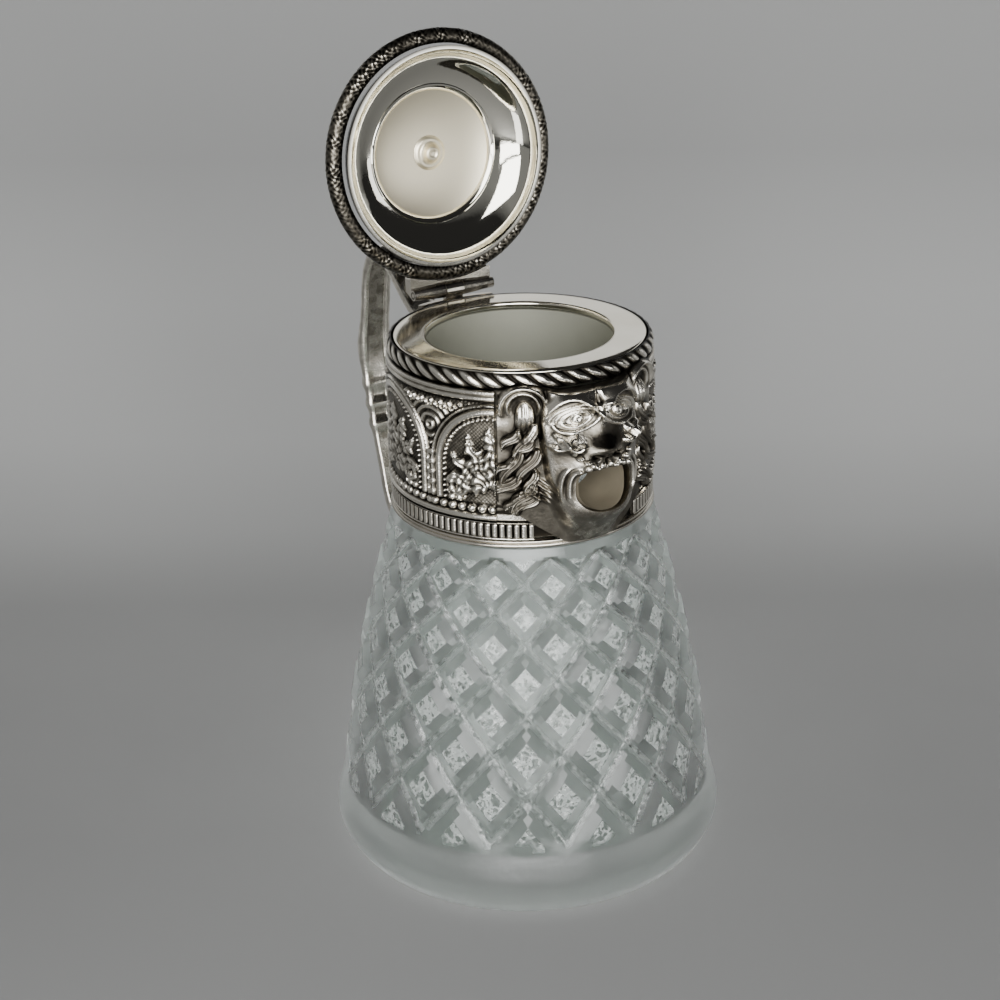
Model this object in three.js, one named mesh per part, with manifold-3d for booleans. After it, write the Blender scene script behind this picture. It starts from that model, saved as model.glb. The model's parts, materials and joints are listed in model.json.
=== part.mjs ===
import * as THREE from 'three';
import { mergeVertices } from 'three/addons/utils/BufferGeometryUtils.js';
import Module from 'manifold-3d';

// A lidded glass creamer: a diamond-cut glass body, a silver plated collar with a lion mask spout,
// a strap handle and a hinged lid that stands open. Millimetres and degrees, +Z up. The origin is the
// centre of the base. The spout points along -Y, the handle along +Y, and the hinge runs along X.

// Joint line left between pieces that are soldered or bedded together.
const GAP = 0.3;

// Glass body.
const FOOT_RADIUS = 42.5;
const FOOT_CHAMFER = 0.6;
const MOULDING_RADIUS = 45.6;
const MOULDING_HEIGHT = 7.5;
const MOULDING_ROUND = 0.7;
const CUT_BOTTOM = 17.2;
const CUT_HEIGHT = 63.6;
const CUT_BOTTOM_RADIUS = 43.9;
const SHOULDER_LEDGE = 0.4;
const SHOULDER_HEIGHT = 83.2;
const BELLY = 1.6;
const CUT_COLUMNS = 16;
const CUT_ROWS = 8;
const CUT_ROW_RATIO = 0.915;
const CUT_DEPTH = 2;
const CUT_LAND = 0.42;
const CUT_TURN = -30;
const CUT_RUNOUT = 2;
const CUT_STEP = 0.2;
const NECK_WALL = 3.3;
const NECK_HEIGHT = 6.8;
const NECK_ROOT = 1;
const GLASS_WALL = 6.2;
const GLASS_FLOOR = 9;
const HEEL_RADIUS = 3.4;
const GLASS_SIDES = 32;

// Collar.
const COLLAR_HEIGHT = 39.5;
const LINER_WALL = 1;
const RIM_INSET = 1;
const RIM_THICKNESS = 1.6;
const SLEEVE_RADIUS = 29;
const SLEEVE_WALL = 1.8;
const REBATE_DEPTH = 1;
const BEAD_HEIGHT = 1.7;
const BEAD_PROUD = 1;
const REED_HEIGHT = 3.8;
const REED_COUNT = 52;
const REED_DEPTH = 0.6;
const BORDER_DEPTH = 1.3;
const GADROON_DROP = 0.3;
const GADROON_HEIGHT = 3.4;
const GADROON_COUNT = 40;
const GADROON_SLANT = 1.1;
const GADROON_DEPTH = 0.45;
const FILLET_HEIGHT = 2.5;
const FILLET_DEPTH = 0.5;
const FILLET_GROOVE = 0.6;
const ARCH_FIRST = 42.7;
const ARCH_PITCH = 57.3;
const ARCH_BAYS = 3;
const ARCH_HALF_SPAN = 12.4;
const ARCH_SPRING_DROP = 21.5;
const ARCH_CROWN_DROP = 8.8;
const ARCH_RIB = 1.5;
const ARCH_RELIEF = 0.8;
const LEAF_LENGTH = 12;
const LEAF_WIDTH = 3.4;
const LEAF_SPREAD = 32;
const CEMENT_THICKNESS = 1.6;
const CEMENT_FLANGE = 1.3;
const COLLAR_SIDES = 32;
const SMALL_SIDES = 16;
const EDGE_STEPS = 3;

// Lion mask spout. Levels are drops below the collar's top, and setouts are distances from its middle.
const MASK_HALF_WIDTH = 21;
const MASK_TOP_DROP = 4;
const MASK_SIDE_DROP = 28.4;
const MASK_CHIN_DROP = 38.7;
const MASK_CHIN_HALF = 6;
const MASK_MARGIN = 0.4;
const MASK_EDGE = 0.7;
const MASK_COLUMNS = 28;
const MASK_ROWS = 26;
const EAR_SETOUT = 14.9;
const EAR_DROP = 7.6;
const EAR_RADIUS = 4.4;
const EAR_RISE = 1.8;
const EAR_RELIEF = 1.5;
const MANE_RELIEF = 1.5;
const LOCK_PITCH = 4.2;
const LOCK_RELIEF = 1.1;
const BROW_SETOUT = 5.6;
const BROW_DROP = 5.4;
const BROW_WIDTH = 1.5;
const BROW_RELIEF = 1.7;
const EYE_SETOUT = 5;
const EYE_DROP = 9.8;
const EYE_LENGTH = 3.6;
const EYE_HEIGHT = 2.1;
const EYE_RELIEF = 1.8;
const NOSE_DROP = 16.4;
const NOSE_HALF = 3;
const NOSE_RELIEF = 1.3;
const JOWL_SETOUT = 3.8;
const JOWL_DROP = 19.4;
const JOWL_RADIUS = 2.6;
const JOWL_RELIEF = 1.5;
const CHEEK_SETOUT = 6.8;
const CHEEK_DROP = 15;
const CHEEK_RADIUS = 2.2;
const CHEEK_RELIEF = 1.3;
const LIP_WIDTH = 1.5;
const LIP_RELIEF = 1;
const FACE_LINE = [
    [1, 1.2], [4, 2.6], [6, 3.6], [9.5, 3.6], [13, 4.6], [16, 6],
    [20.5, 6.2], [27, 7], [30.4, 7], [35, 3.6], [39, 0.8],
];
const FACE_HALF = [[1, 8.6], [6, 10.6], [12, 11.4], [19, 10.8], [25, 9.8], [30, 8.8], [35, 6.6], [39, 5]];
const SPOUT_WIDTH = 11.5;
const SPOUT_HEIGHT = 9.5;
const SPOUT_CORNER = 1.2;
const SPOUT_DROP = 25.4;
const THROAT_WALL = 0.9;
const THROAT_SEAT = 2;

// Hinge and lid.
const HINGE_OFFSET = 1.65;
const HINGE_RISE = 1.58;
const HINGE_LENGTH = 20.8;
const KNUCKLE_RADIUS = 1.7;
const KNUCKLE_END_RADIUS = 1.25;
const KNUCKLE_LENGTH = 4.4;
const PIN_RADIUS = 0.6;
const SEAT_SPREAD = 18;
const SEAT_PLATE = 1.3;
const SEAT_MARGIN = 0.4;
const SADDLE_FOOT = 0.6;
const SADDLE_BACK = 0.9;
const LID_OPEN = 94;
const LID_INSET = 0.2;
const LID_BORDER = 3.9;
const LID_SHEET = 0.9;
const LID_BEAD_RADIUS = 1.95;
const LID_BEAD_LIFT = 1.4;
const LID_BEAD_LOBES = 30;
const LID_LOBE_DEPTH = 0.35;
const BOWL_DEPTH = 6.4;
const CUP_RADIUS = 15;
const CUP_DEPTH = 2.4;
const CUP_STEP = 0.9;
const FINIAL_HEIGHT = 12.5;
const FINIAL_RADIUS = 5;
const FINIAL_SHARES = [[0.9, 0.07], [0.42, 0.21], [0.4, 0.29], [1, 0.53], [0.75, 0.77], [0.28, 0.91]];
const STUD_RADIUS = 1.2;
const STUD_REACH = 2;
const RIVET_RADIUS = 3.2;
const RIVET_HEIGHT = 1.2;

// Handle. Its middle line is given from the back of the collar's top edge.
const HANDLE_WIDTH = 7.8;
const HANDLE_FOOT_WIDTH = 4.4;
const HANDLE_THICKNESS = 3;
const HANDLE_CHANNEL = 0.9;
const HANDLE_ROOT_SWELL = 1;
const HANDLE_STEPS = 40;
const HANDLE_LINE = [
    [-1.5, -10.2], [9, -9.6], [18, -6.5], [28, 0.2], [35.5, 3], [40.8, -2.5], [43.4, -14], [45.4, -26],
    [44, -38], [41, -53], [36.5, -65.5], [27.5, -69], [18.5, -62], [10.2, -48.5], [6.6, -37],
    [3.4, -29.8], [-1.5, -26.8],
];

// Worked out from the driving dimensions.
const SHOULDER_RADIUS = SLEEVE_RADIUS + SHOULDER_LEDGE;
const SLEEVE_BORE = SLEEVE_RADIUS - SLEEVE_WALL;
const NECK_RADIUS = SLEEVE_BORE - CEMENT_THICKNESS - 2 * GAP;
const LINER_RADIUS = NECK_RADIUS - NECK_WALL;
const MOUTH_RADIUS = LINER_RADIUS - LINER_WALL;
const RIM_RADIUS = SLEEVE_RADIUS - RIM_INSET;
const BEAD_RADIUS = SLEEVE_RADIUS + BEAD_PROUD;
const HINGE_SETBACK = SLEEVE_RADIUS + HINGE_OFFSET;
const LID_RADIUS = SLEEVE_RADIUS - LID_INSET;
const LID_LIP_RADIUS = LID_RADIUS - LID_BORDER;
const COLLAR_BOTTOM = SHOULDER_HEIGHT + GAP;
const COLLAR_TOP = COLLAR_BOTTOM + COLLAR_HEIGHT;
const NECK_TOP = SHOULDER_HEIGHT + NECK_HEIGHT;
const SLEEVE_BOTTOM = COLLAR_BOTTOM + BEAD_HEIGHT + GAP;
const REED_TOP = SLEEVE_BOTTOM + REED_HEIGHT;
const RIM_BOTTOM = COLLAR_TOP - RIM_THICKNESS;
const SLEEVE_TOP = RIM_BOTTOM - GAP;
const GADROON_TOP = COLLAR_TOP - GADROON_DROP;
const GADROON_BOTTOM = GADROON_TOP - GADROON_HEIGHT;
const REBATE_RADIUS = SLEEVE_RADIUS - REBATE_DEPTH;
const BORDER_BORE = REBATE_RADIUS + GAP;
const SPOUT_LEVEL = COLLAR_TOP - SPOUT_DROP;
const HINGE_LEVEL = COLLAR_TOP + HINGE_RISE;
const LID_SEAT = COLLAR_TOP + GAP - HINGE_LEVEL;
const MASK_BACK = SLEEVE_RADIUS + GAP;
const HALF_TURN = Math.PI;
const FULL_TURN = 2 * Math.PI;
const FRONT = -Math.PI / 2;

const wasm = await Module();
wasm.setup();

const SILVER = { color: 0xa9a398, metalness: 1, roughness: 0.28 };
const POLISHED = { color: 0xc9c4ba, metalness: 1, roughness: 0.12 };
const GLASS = { color: 0xdcebe8, metalness: 0, roughness: 0.03, transparent: true, opacity: 0.35 };
const PLASTER = { color: 0xe6e1d6, metalness: 0, roughness: 0.9 };

function named(name, geometry, finish) {
    const piece = new THREE.Mesh(geometry, new THREE.MeshStandardMaterial(finish));
    piece.name = name;
    return piece;
}

// Joins shared vertices of a closed geometry and drops the triangles that vanish on an axis.
function welded(geometry) {
    const bare = geometry.clone();
    bare.deleteAttribute('normal');
    bare.deleteAttribute('uv');
    const merged = mergeVertices(bare, 1e-4);
    const source = merged.index.array;
    const kept = [];
    for (let i = 0; i < source.length; i += 3) {
        const [a, b, c] = [source[i], source[i + 1], source[i + 2]];
        if (a !== b && b !== c && c !== a) {
            kept.push(a, b, c);
        }
    }
    merged.setIndex(kept);
    return merged;
}

function signedVolume(geometry) {
    const points = geometry.attributes.position;
    const index = geometry.index.array;
    const [a, b, c] = [new THREE.Vector3(), new THREE.Vector3(), new THREE.Vector3()];
    let sum = 0;
    for (let i = 0; i < index.length; i += 3) {
        a.fromBufferAttribute(points, index[i]);
        b.fromBufferAttribute(points, index[i + 1]);
        c.fromBufferAttribute(points, index[i + 2]);
        sum += a.dot(b.cross(c));
    }
    return sum / 6;
}

// A closed geometry as a solid, with its faces turned outwards.
function solid(geometry) {
    const closed = welded(geometry);
    if (signedVolume(closed) < 0) {
        const index = Array.from(closed.index.array);
        for (let i = 0; i < index.length; i += 3) {
            [index[i + 1], index[i + 2]] = [index[i + 2], index[i + 1]];
        }
        closed.setIndex(index);
    }
    return new wasm.Manifold(new wasm.Mesh({
        numProp: 3,
        vertProperties: new Float32Array(closed.attributes.position.array),
        triVerts: new Uint32Array(closed.index.array),
    }));
}

function geometryOf(body) {
    const mesh = body.getMesh();
    const geometry = new THREE.BufferGeometry();
    geometry.setAttribute('position', new THREE.BufferAttribute(mesh.vertProperties, 3));
    geometry.setIndex(new THREE.BufferAttribute(mesh.triVerts, 1));
    geometry.computeVertexNormals();
    return geometry;
}

// A profile of [radius, height] points turned round the Z axis. It closes on itself or ends on the axis.
function turned(profile, sides, closes = true) {
    const points = profile.map(([radius, height]) => new THREE.Vector2(radius, height));
    if (closes) {
        points.push(points[0].clone());
    }
    return new THREE.LatheGeometry(points, sides).rotateX(Math.PI / 2);
}

function cylinder(radius, bottom, top, sides) {
    return turned([[0, bottom], [radius, bottom], [radius, top], [0, top]], sides, false);
}

// Points of a curve as [x, y] pairs.
function along(curve, steps) {
    return curve.getPoints(steps).map((point) => [point.x, point.y]);
}

// An outline drawn in the YZ plane and given a width along X.
function slab(outline, width) {
    const shape = new THREE.Shape(outline.map(([y, z]) => new THREE.Vector2(y, z)));
    const block = new THREE.ExtrudeGeometry(shape, { depth: width, bevelEnabled: false });
    block.translate(0, 0, -width / 2);
    return block.applyMatrix4(new THREE.Matrix4().set(0, 0, 1, 0, 1, 0, 0, 0, 0, 1, 0, 0, 0, 0, 0, 1));
}

// A round bar along X, from one end to the other, that may taper.
function bar(startRadius, endRadius, start, end) {
    const length = end - start;
    const rod = new THREE.CylinderGeometry(endRadius, startRadius, length, SMALL_SIDES);
    return rod.rotateZ(-Math.PI / 2).translate(start + length / 2, 0, 0);
}

// Collects points and triangles of a closed surface that is made ring by ring.
class Surface {
    constructor() {
        this.points = [];
        this.triangles = [];
    }

    point(x, y, z) {
        this.points.push(x, y, z);
        return this.points.length / 3 - 1;
    }

    polar(radius, angle, z) {
        return this.point(radius * Math.cos(angle), radius * Math.sin(angle), z);
    }

    face(a, b, c) {
        this.triangles.push(a, b, c);
    }

    quad(a, b, c, d) {
        this.face(a, b, c);
        this.face(a, c, d);
    }

    // A level ring of points, each with its angle, counted anticlockwise from start.
    ring(sides, radiusAt, z, start = 0) {
        const made = [];
        for (let i = 0; i < sides; i += 1) {
            const angle = start + (FULL_TURN * i) / sides;
            made.push({ angle, id: this.polar(radiusAt(angle), angle, z) });
        }
        return made;
    }

    // Fills between two rings that start at about the same angle, whatever their numbers of points.
    bridge(lower, upper) {
        let [i, j] = [0, 0];
        while (i < lower.length || j < upper.length) {
            const nextLower = lower[i % lower.length].angle + (i + 1 > lower.length ? Infinity : 0)
                + FULL_TURN / lower.length;
            const nextUpper = upper[j % upper.length].angle + (j + 1 > upper.length ? Infinity : 0)
                + FULL_TURN / upper.length;
            const a = lower[i % lower.length].id;
            const b = upper[j % upper.length].id;
            if (nextLower <= nextUpper) {
                this.face(a, lower[(i + 1) % lower.length].id, b);
                i += 1;
            } else {
                this.face(a, upper[(j + 1) % upper.length].id, b);
                j += 1;
            }
        }
    }

    // Closes a ring to one point on the axis. The ring comes after the point along the profile.
    cap(centre, ring, after = true) {
        ring.forEach((corner, i) => {
            const next = ring[(i + 1) % ring.length];
            if (after) {
                this.face(centre, next.id, corner.id);
            } else {
                this.face(corner.id, next.id, centre);
            }
        });
    }

    geometry() {
        const made = new THREE.BufferGeometry();
        made.setAttribute('position', new THREE.Float32BufferAttribute(this.points, 3));
        made.setIndex(this.triangles);
        return made;
    }
}

// Outer radius of the uncut glass between the base moulding and the shoulder.
function glassRadius(z) {
    const t = THREE.MathUtils.clamp((z - CUT_BOTTOM / 2) / (SHOULDER_HEIGHT - CUT_BOTTOM / 2), 0, 1);
    return CUT_BOTTOM_RADIUS - (CUT_BOTTOM_RADIUS - SHOULDER_RADIUS) * t ** BELLY;
}

// Heights at which the two families of spiral cuts cross. The rows get lower towards the neck.
function cutLevels() {
    const first = (CUT_HEIGHT * (1 - CUT_ROW_RATIO)) / (1 - CUT_ROW_RATIO ** CUT_ROWS);
    const levels = [];
    for (let row = 0; row <= CUT_ROWS; row += 1) {
        levels.push(CUT_BOTTOM + (first * (1 - CUT_ROW_RATIO ** row)) / (1 - CUT_ROW_RATIO));
    }
    return levels;
}

// The field of diamonds. Each crossing of two cuts lies a cut's depth below the glass, and each diamond
// between four crossings rises to a flat land. The cuts run out at the first and the last level.
// Returns the field's lowest and highest rings.
function addDiamonds(surface) {
    const levels = cutLevels();
    const pitch = FULL_TURN / CUT_COLUMNS;
    const turn = FRONT + THREE.MathUtils.degToRad(CUT_TURN);
    const last = levels.length - 1;
    const crossings = levels.map((z, row) => {
        const depth = row === 0 || row === last ? CUT_DEPTH * 0.25 : CUT_DEPTH;
        const start = turn + (row % 2 === 0 ? pitch / 2 : 0);
        return surface.ring(CUT_COLUMNS, () => glassRadius(z) - depth, z, start);
    });
    const corner = (row, column) => crossings[row][(column + CUT_COLUMNS) % CUT_COLUMNS].id;
    for (let row = 1; row < last; row += 1) {
        for (let column = 0; column < CUT_COLUMNS; column += 1) {
            const shift = row % 2 === 0 ? 1 : 0;
            const angle = crossings[row][column].angle + pitch / 2;
            const ids = [
                corner(row - 1, column + shift),
                corner(row, column + 1),
                corner(row + 1, column + shift),
                corner(row, column),
            ];
            const middle = levels[row];
            const offsets = [
                [0, levels[row - 1] - middle], [pitch / 2, 0], [0, levels[row + 1] - middle], [-pitch / 2, 0],
            ];
            const land = offsets.map(([across, up]) => {
                const z = middle + up * CUT_LAND;
                return surface.polar(glassRadius(z), angle + across * CUT_LAND, z);
            });
            surface.quad(...land);
            ids.forEach((id, i) => {
                const next = (i + 1) % 4;
                surface.quad(id, ids[next], land[next], land[i]);
            });
        }
    }
    const edge = (row, up) => {
        const ring = [];
        const shift = row % 2 === 0 ? 1 : 0;
        crossings[row].forEach((crossing, column) => {
            const angle = crossing.angle + pitch / 2;
            const middle = surface.polar(glassRadius(levels[row]), angle, levels[row]);
            const next = corner(row, column + 1);
            const tip = corner(up ? row - 1 : row + 1, column + shift);
            if (up) {
                surface.face(tip, next, middle);
                surface.face(tip, middle, crossing.id);
            } else {
                surface.face(crossing.id, middle, tip);
                surface.face(middle, next, tip);
            }
            ring.push(crossing, { angle, id: middle });
        });
        return ring;
    };
    return [edge(0, false), edge(last, true)];
}

// The glass: base, moulding, diamonds, shoulder and neck outside, a smooth hollow inside.
function glassBody() {
    const surface = new Surface();
    const start = FRONT + THREE.MathUtils.degToRad(CUT_TURN) + HALF_TURN / CUT_COLUMNS;
    const level = (radius, z) => surface.ring(GLASS_SIDES, () => radius, z, start);
    const moulding = new THREE.SplineCurve([
        new THREE.Vector2(FOOT_RADIUS, FOOT_CHAMFER),
        new THREE.Vector2(MOULDING_RADIUS - MOULDING_ROUND, MOULDING_HEIGHT / 2),
        new THREE.Vector2(MOULDING_RADIUS, MOULDING_HEIGHT),
        new THREE.Vector2(glassRadius(CUT_BOTTOM) + CUT_STEP, CUT_BOTTOM - CUT_RUNOUT),
    ]);
    const [lowest, highest] = addDiamonds(surface);
    const outside = [level(FOOT_RADIUS - FOOT_CHAMFER, 0)];
    along(moulding, 5).forEach(([radius, z]) => outside.push(level(radius, z)));
    surface.cap(surface.point(0, 0, 0), outside[0]);
    const topEdge = CUT_BOTTOM + CUT_HEIGHT;
    const shoulderStart = (topEdge + SHOULDER_HEIGHT) / 2;
    const above = [
        level(glassRadius(shoulderStart), shoulderStart),
        level(SHOULDER_RADIUS, SHOULDER_HEIGHT),
        level(NECK_RADIUS, SHOULDER_HEIGHT),
        level(NECK_RADIUS, NECK_TOP),
        level(LINER_RADIUS, NECK_TOP),
        level(LINER_RADIUS, SHOULDER_HEIGHT + NECK_ROOT),
    ];
    const innerHeights = [0.9, 0.7, 0.45, 0.2];
    innerHeights.forEach((share) => {
        const z = GLASS_FLOOR + (SHOULDER_HEIGHT - GLASS_FLOOR) * share;
        const wall = GLASS_WALL * (share > 0.8 ? 1.1 : 1);
        above.push(level(glassRadius(z) - wall, z));
    });
    const heel = glassRadius(GLASS_FLOOR) - GLASS_WALL;
    above.push(level(heel - HEEL_RADIUS / 6, GLASS_FLOOR + HEEL_RADIUS));
    above.push(level(heel - HEEL_RADIUS, GLASS_FLOOR));
    const rings = [...outside, lowest];
    rings.slice(1).forEach((ring, i) => surface.bridge(rings[i], ring));
    const upper = [highest, ...above];
    upper.slice(1).forEach((ring, i) => surface.bridge(upper[i], ring));
    surface.cap(surface.point(0, 0, GLASS_FLOOR), above[above.length - 1], false);
    return geometryOf(solid(surface.geometry()));
}

// Plaster between the neck and the sleeve, with a flange that seals the foot of the liner.
function neckCement() {
    const outer = SLEEVE_BORE - GAP;
    const top = NECK_TOP + GAP + CEMENT_FLANGE;
    return geometryOf(solid(turned([
        [NECK_RADIUS + GAP, COLLAR_BOTTOM], [outer, COLLAR_BOTTOM], [outer, top],
        [LINER_RADIUS + GAP, top], [LINER_RADIUS + GAP, NECK_TOP + GAP], [NECK_RADIUS + GAP, NECK_TOP + GAP],
    ], COLLAR_SIDES)));
}

// The spout's section: flat on top and round below, widened all round by an allowance.
function spoutShape(allowance) {
    const half = SPOUT_WIDTH / 2 + allowance;
    const top = SPOUT_HEIGHT / 2 + allowance;
    const turn = -SPOUT_HEIGHT / 2 + SPOUT_WIDTH / 2;
    const corner = SPOUT_CORNER;
    const shape = new THREE.Shape();
    shape.moveTo(half, turn);
    shape.lineTo(half, top - corner);
    shape.quadraticCurveTo(half, top, half - corner, top);
    shape.lineTo(corner - half, top);
    shape.quadraticCurveTo(-half, top, -half, top - corner);
    shape.lineTo(-half, turn);
    shape.absarc(0, turn, half, HALF_TURN, FULL_TURN);
    return shape;
}

// A bar of the spout's section that runs outwards along -Y between two distances from the axis.
function spoutBar(allowance, from, to) {
    const block = new THREE.ExtrudeGeometry(spoutShape(allowance), {
        depth: to - from, bevelEnabled: false, curveSegments: 6,
    });
    return solid(block.rotateX(Math.PI / 2).translate(0, -from, SPOUT_LEVEL));
}

// Outer profile of the sleeve from bottom to top, moved outwards by a clearance: rebates for the two
// applied borders, a thin bead below the frieze and a pair of fillets above it.
function sleeveProfile(clearance) {
    const friezeBottom = REED_TOP + GAP - clearance;
    const beadTop = REED_TOP + GAP + 0.6 * FILLET_HEIGHT + clearance;
    const filletsTop = GADROON_BOTTOM - GAP + clearance;
    const filletsBottom = GADROON_BOTTOM - GAP - FILLET_HEIGHT - clearance;
    const groove = GADROON_BOTTOM - GAP - FILLET_HEIGHT / 2;
    const grooveHalf = Math.max(FILLET_GROOVE / 4, (FILLET_GROOVE - clearance) / 2);
    const rebate = REBATE_RADIUS + clearance;
    const plain = SLEEVE_RADIUS + clearance;
    const proud = plain + FILLET_DEPTH;
    return [
        [rebate, SLEEVE_BOTTOM], [rebate, friezeBottom], [proud, friezeBottom],
        [proud, beadTop - FILLET_DEPTH], [plain, beadTop], [plain, filletsBottom],
        [proud, filletsBottom + FILLET_GROOVE / 2], [proud, groove - grooveHalf],
        [proud - FILLET_DEPTH / 2, groove], [proud, groove + grooveHalf], [proud, filletsTop],
        [rebate, filletsTop], [rebate, SLEEVE_TOP],
    ];
}

function sleeveBody() {
    const profile = sleeveProfile(0);
    return solid(turned([[SLEEVE_BORE, SLEEVE_BOTTOM], ...profile, [SLEEVE_BORE, SLEEVE_TOP]], COLLAR_SIDES));
}

// Space that the collar takes, with the joint line all round, from the pieces fitted to it.
function collarRoom() {
    const bead = BEAD_RADIUS + GAP;
    return solid(turned([
        [0, 0], [bead, 0], [bead, SLEEVE_BOTTOM], ...sleeveProfile(GAP), [0, SLEEVE_TOP],
    ], COLLAR_SIDES, false));
}

// A round bump of height one with its own half width and half height.
function bump(x, y, width, height) {
    return Math.exp(-((x / width) ** 2) - (y / height) ** 2);
}

// Lower and upper edge of the mask at x from its middle: a chin with rising sides, and a top with two ears.
function maskLow(x) {
    const share = (Math.abs(x) - MASK_CHIN_HALF) / (MASK_HALF_WIDTH - MASK_CHIN_HALF);
    const rise = (MASK_CHIN_DROP - MASK_SIDE_DROP) * THREE.MathUtils.clamp(share, 0, 1);
    return COLLAR_TOP - MASK_CHIN_DROP + rise;
}

function maskHigh(x) {
    const ear = EAR_RISE * bump(Math.abs(x) - EAR_SETOUT, 0, EAR_RADIUS, 1);
    return COLLAR_TOP - MASK_TOP_DROP + ear;
}

// A smooth curve through [drop, value] pairs.
function smoothLine(pairs) {
    const curve = new THREE.CubicInterpolant(pairs.map(([drop]) => drop), pairs.map(([, value]) => value), 1);
    return (drop) => curve.evaluate(drop)[0];
}

const faceLine = smoothLine(FACE_LINE);
const faceHalf = smoothLine(FACE_HALF);

// Locks of the mane: waves that run outwards and down, and an arched ear above them with a tuft in it.
function maneRelief(side, drop) {
    const sway = 0.3 * Math.sin((FULL_TURN * drop) / (4 * LOCK_PITCH));
    const wave = (0.75 * side - 0.66 * drop) / LOCK_PITCH + sway;
    const lock = LOCK_RELIEF * (Math.abs(Math.cos(HALF_TURN * wave)) - 0.5);
    const across = side - EAR_SETOUT;
    const up = EAR_DROP - drop;
    const reach = Math.hypot(across, up);
    const above = THREE.MathUtils.smoothstep(up, -EAR_RADIUS / 2, EAR_RADIUS / 3);
    const rim = EAR_RELIEF * bump(reach - EAR_RADIUS, 0, EAR_RADIUS / 4, 1) * above;
    const tuft = EAR_RELIEF * bump(across, up + EAR_RADIUS / 3, EAR_RADIUS / 2, EAR_RADIUS);
    const below = THREE.MathUtils.smoothstep(drop, EAR_DROP, EAR_DROP + EAR_RADIUS);
    return MANE_RELIEF + lock * below + rim + tuft * (1 - 0.5 * below);
}

// Eyes, brows, nose and whisker pads, added to the mound of the face.
function faceFeatures(side, drop) {
    const frown = BROW_DROP + (side - BROW_SETOUT) ** 2 / (2 * BROW_SETOUT);
    const brow = BROW_RELIEF * bump(drop - frown, side - BROW_SETOUT, BROW_WIDTH, BROW_SETOUT);
    const [across, down] = [side - EYE_SETOUT, drop - EYE_DROP];
    const socket = EYE_RELIEF * bump(across, down, EYE_LENGTH, EYE_HEIGHT);
    const ball = EYE_RELIEF * bump(across, down, EYE_LENGTH / 2, EYE_HEIGHT / 2);
    const muzzle = NOSE_HALF * THREE.MathUtils.clamp((drop - EYE_DROP) / (NOSE_DROP - EYE_DROP), 0.3, 1);
    const length = THREE.MathUtils.smoothstep(drop, BROW_DROP, EYE_DROP)
        * (1 - THREE.MathUtils.smoothstep(drop, NOSE_DROP, NOSE_DROP + NOSE_HALF));
    const nose = NOSE_RELIEF * bump(side, 0, muzzle, 1) * length;
    const jowl = JOWL_RELIEF * bump(side - JOWL_SETOUT, drop - JOWL_DROP, JOWL_RADIUS, JOWL_RADIUS);
    const cheek = CHEEK_RELIEF * bump(side - CHEEK_SETOUT, drop - CHEEK_DROP, CHEEK_RADIUS, CHEEK_RADIUS);
    return brow - socket + ball + nose + jowl + cheek;
}

// A full lip round the lower part of the mouth.
function lipRelief(side, drop) {
    const reach = Math.hypot(side / SPOUT_WIDTH, (drop - SPOUT_DROP) / SPOUT_HEIGHT);
    const away = (reach - 0.5) * SPOUT_HEIGHT;
    const below = THREE.MathUtils.smoothstep(drop, SPOUT_DROP, SPOUT_DROP + SPOUT_HEIGHT / 2);
    return LIP_RELIEF * bump(away - LIP_WIDTH / 2, 0, LIP_WIDTH, 1) * below;
}

// Height of the mask above the sleeve at x across it and z up it.
function maskRelief(x, z) {
    const side = Math.abs(x);
    const drop = COLLAR_TOP - z;
    const half = faceHalf(drop);
    const mound = Math.max(0, 1 - (side / (1.12 * half)) ** 2) ** 0.8;
    const features = faceFeatures(side, drop) + lipRelief(side, drop);
    const face = MASK_EDGE + (faceLine(drop) - MASK_EDGE) * mound + features;
    const outside = THREE.MathUtils.smoothstep(side / half, 0.93, 1.08);
    const mane = maneRelief(side, drop);
    const fromSide = THREE.MathUtils.smoothstep(MASK_HALF_WIDTH - side, 0, MASK_EDGE);
    const fromTop = THREE.MathUtils.smoothstep(maskHigh(x) - z, 0, MASK_EDGE);
    return MASK_EDGE + (face * (1 - outside) + mane * outside - MASK_EDGE) * fromSide * fromTop;
}

// A block of the mask's outline, widened by a margin, from inside the sleeve out to a given radius.
function maskBlock(margin, columns, rows, outer) {
    const surface = new Surface();
    const half = MASK_HALF_WIDTH + margin;
    const lines = [];
    for (let column = 0; column <= columns; column += 1) {
        const x = half * ((2 * column) / columns - 1);
        const angle = FRONT + x / MASK_BACK;
        const low = maskLow(x) - margin;
        const high = maskHigh(x) + margin;
        const line = [];
        for (let row = 0; row <= rows; row += 1) {
            const z = low + ((high - low) * row) / rows;
            line.push(surface.polar(outer(x, z), angle, z));
        }
        line.push(surface.polar(SLEEVE_BORE, angle, high), surface.polar(SLEEVE_BORE, angle, low));
        lines.push(line);
    }
    const corner = rows + 2;
    // The diagonals mirror each other, as the locks do.
    for (let column = 0; column < columns; column += 1) {
        const [left, right] = [lines[column], lines[column + 1]];
        left.forEach((id, i) => {
            const next = (i + 1) % left.length;
            if (column < columns / 2) {
                surface.quad(id, right[i], right[next], left[next]);
            } else {
                surface.quad(right[i], right[next], left[next], id);
            }
        });
    }
    for (let i = 0; i < corner - 1; i += 1) {
        surface.face(lines[0][corner], lines[0][i], lines[0][i + 1]);
        surface.face(lines[columns][corner], lines[columns][i + 1], lines[columns][i]);
    }
    return solid(surface.geometry());
}

// Room that the mask takes out of the applied borders.
function maskWindow() {
    const outer = BEAD_RADIUS + MASK_HALF_WIDTH / 2;
    return maskBlock(MASK_MARGIN, 24, 1, () => outer);
}

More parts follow.
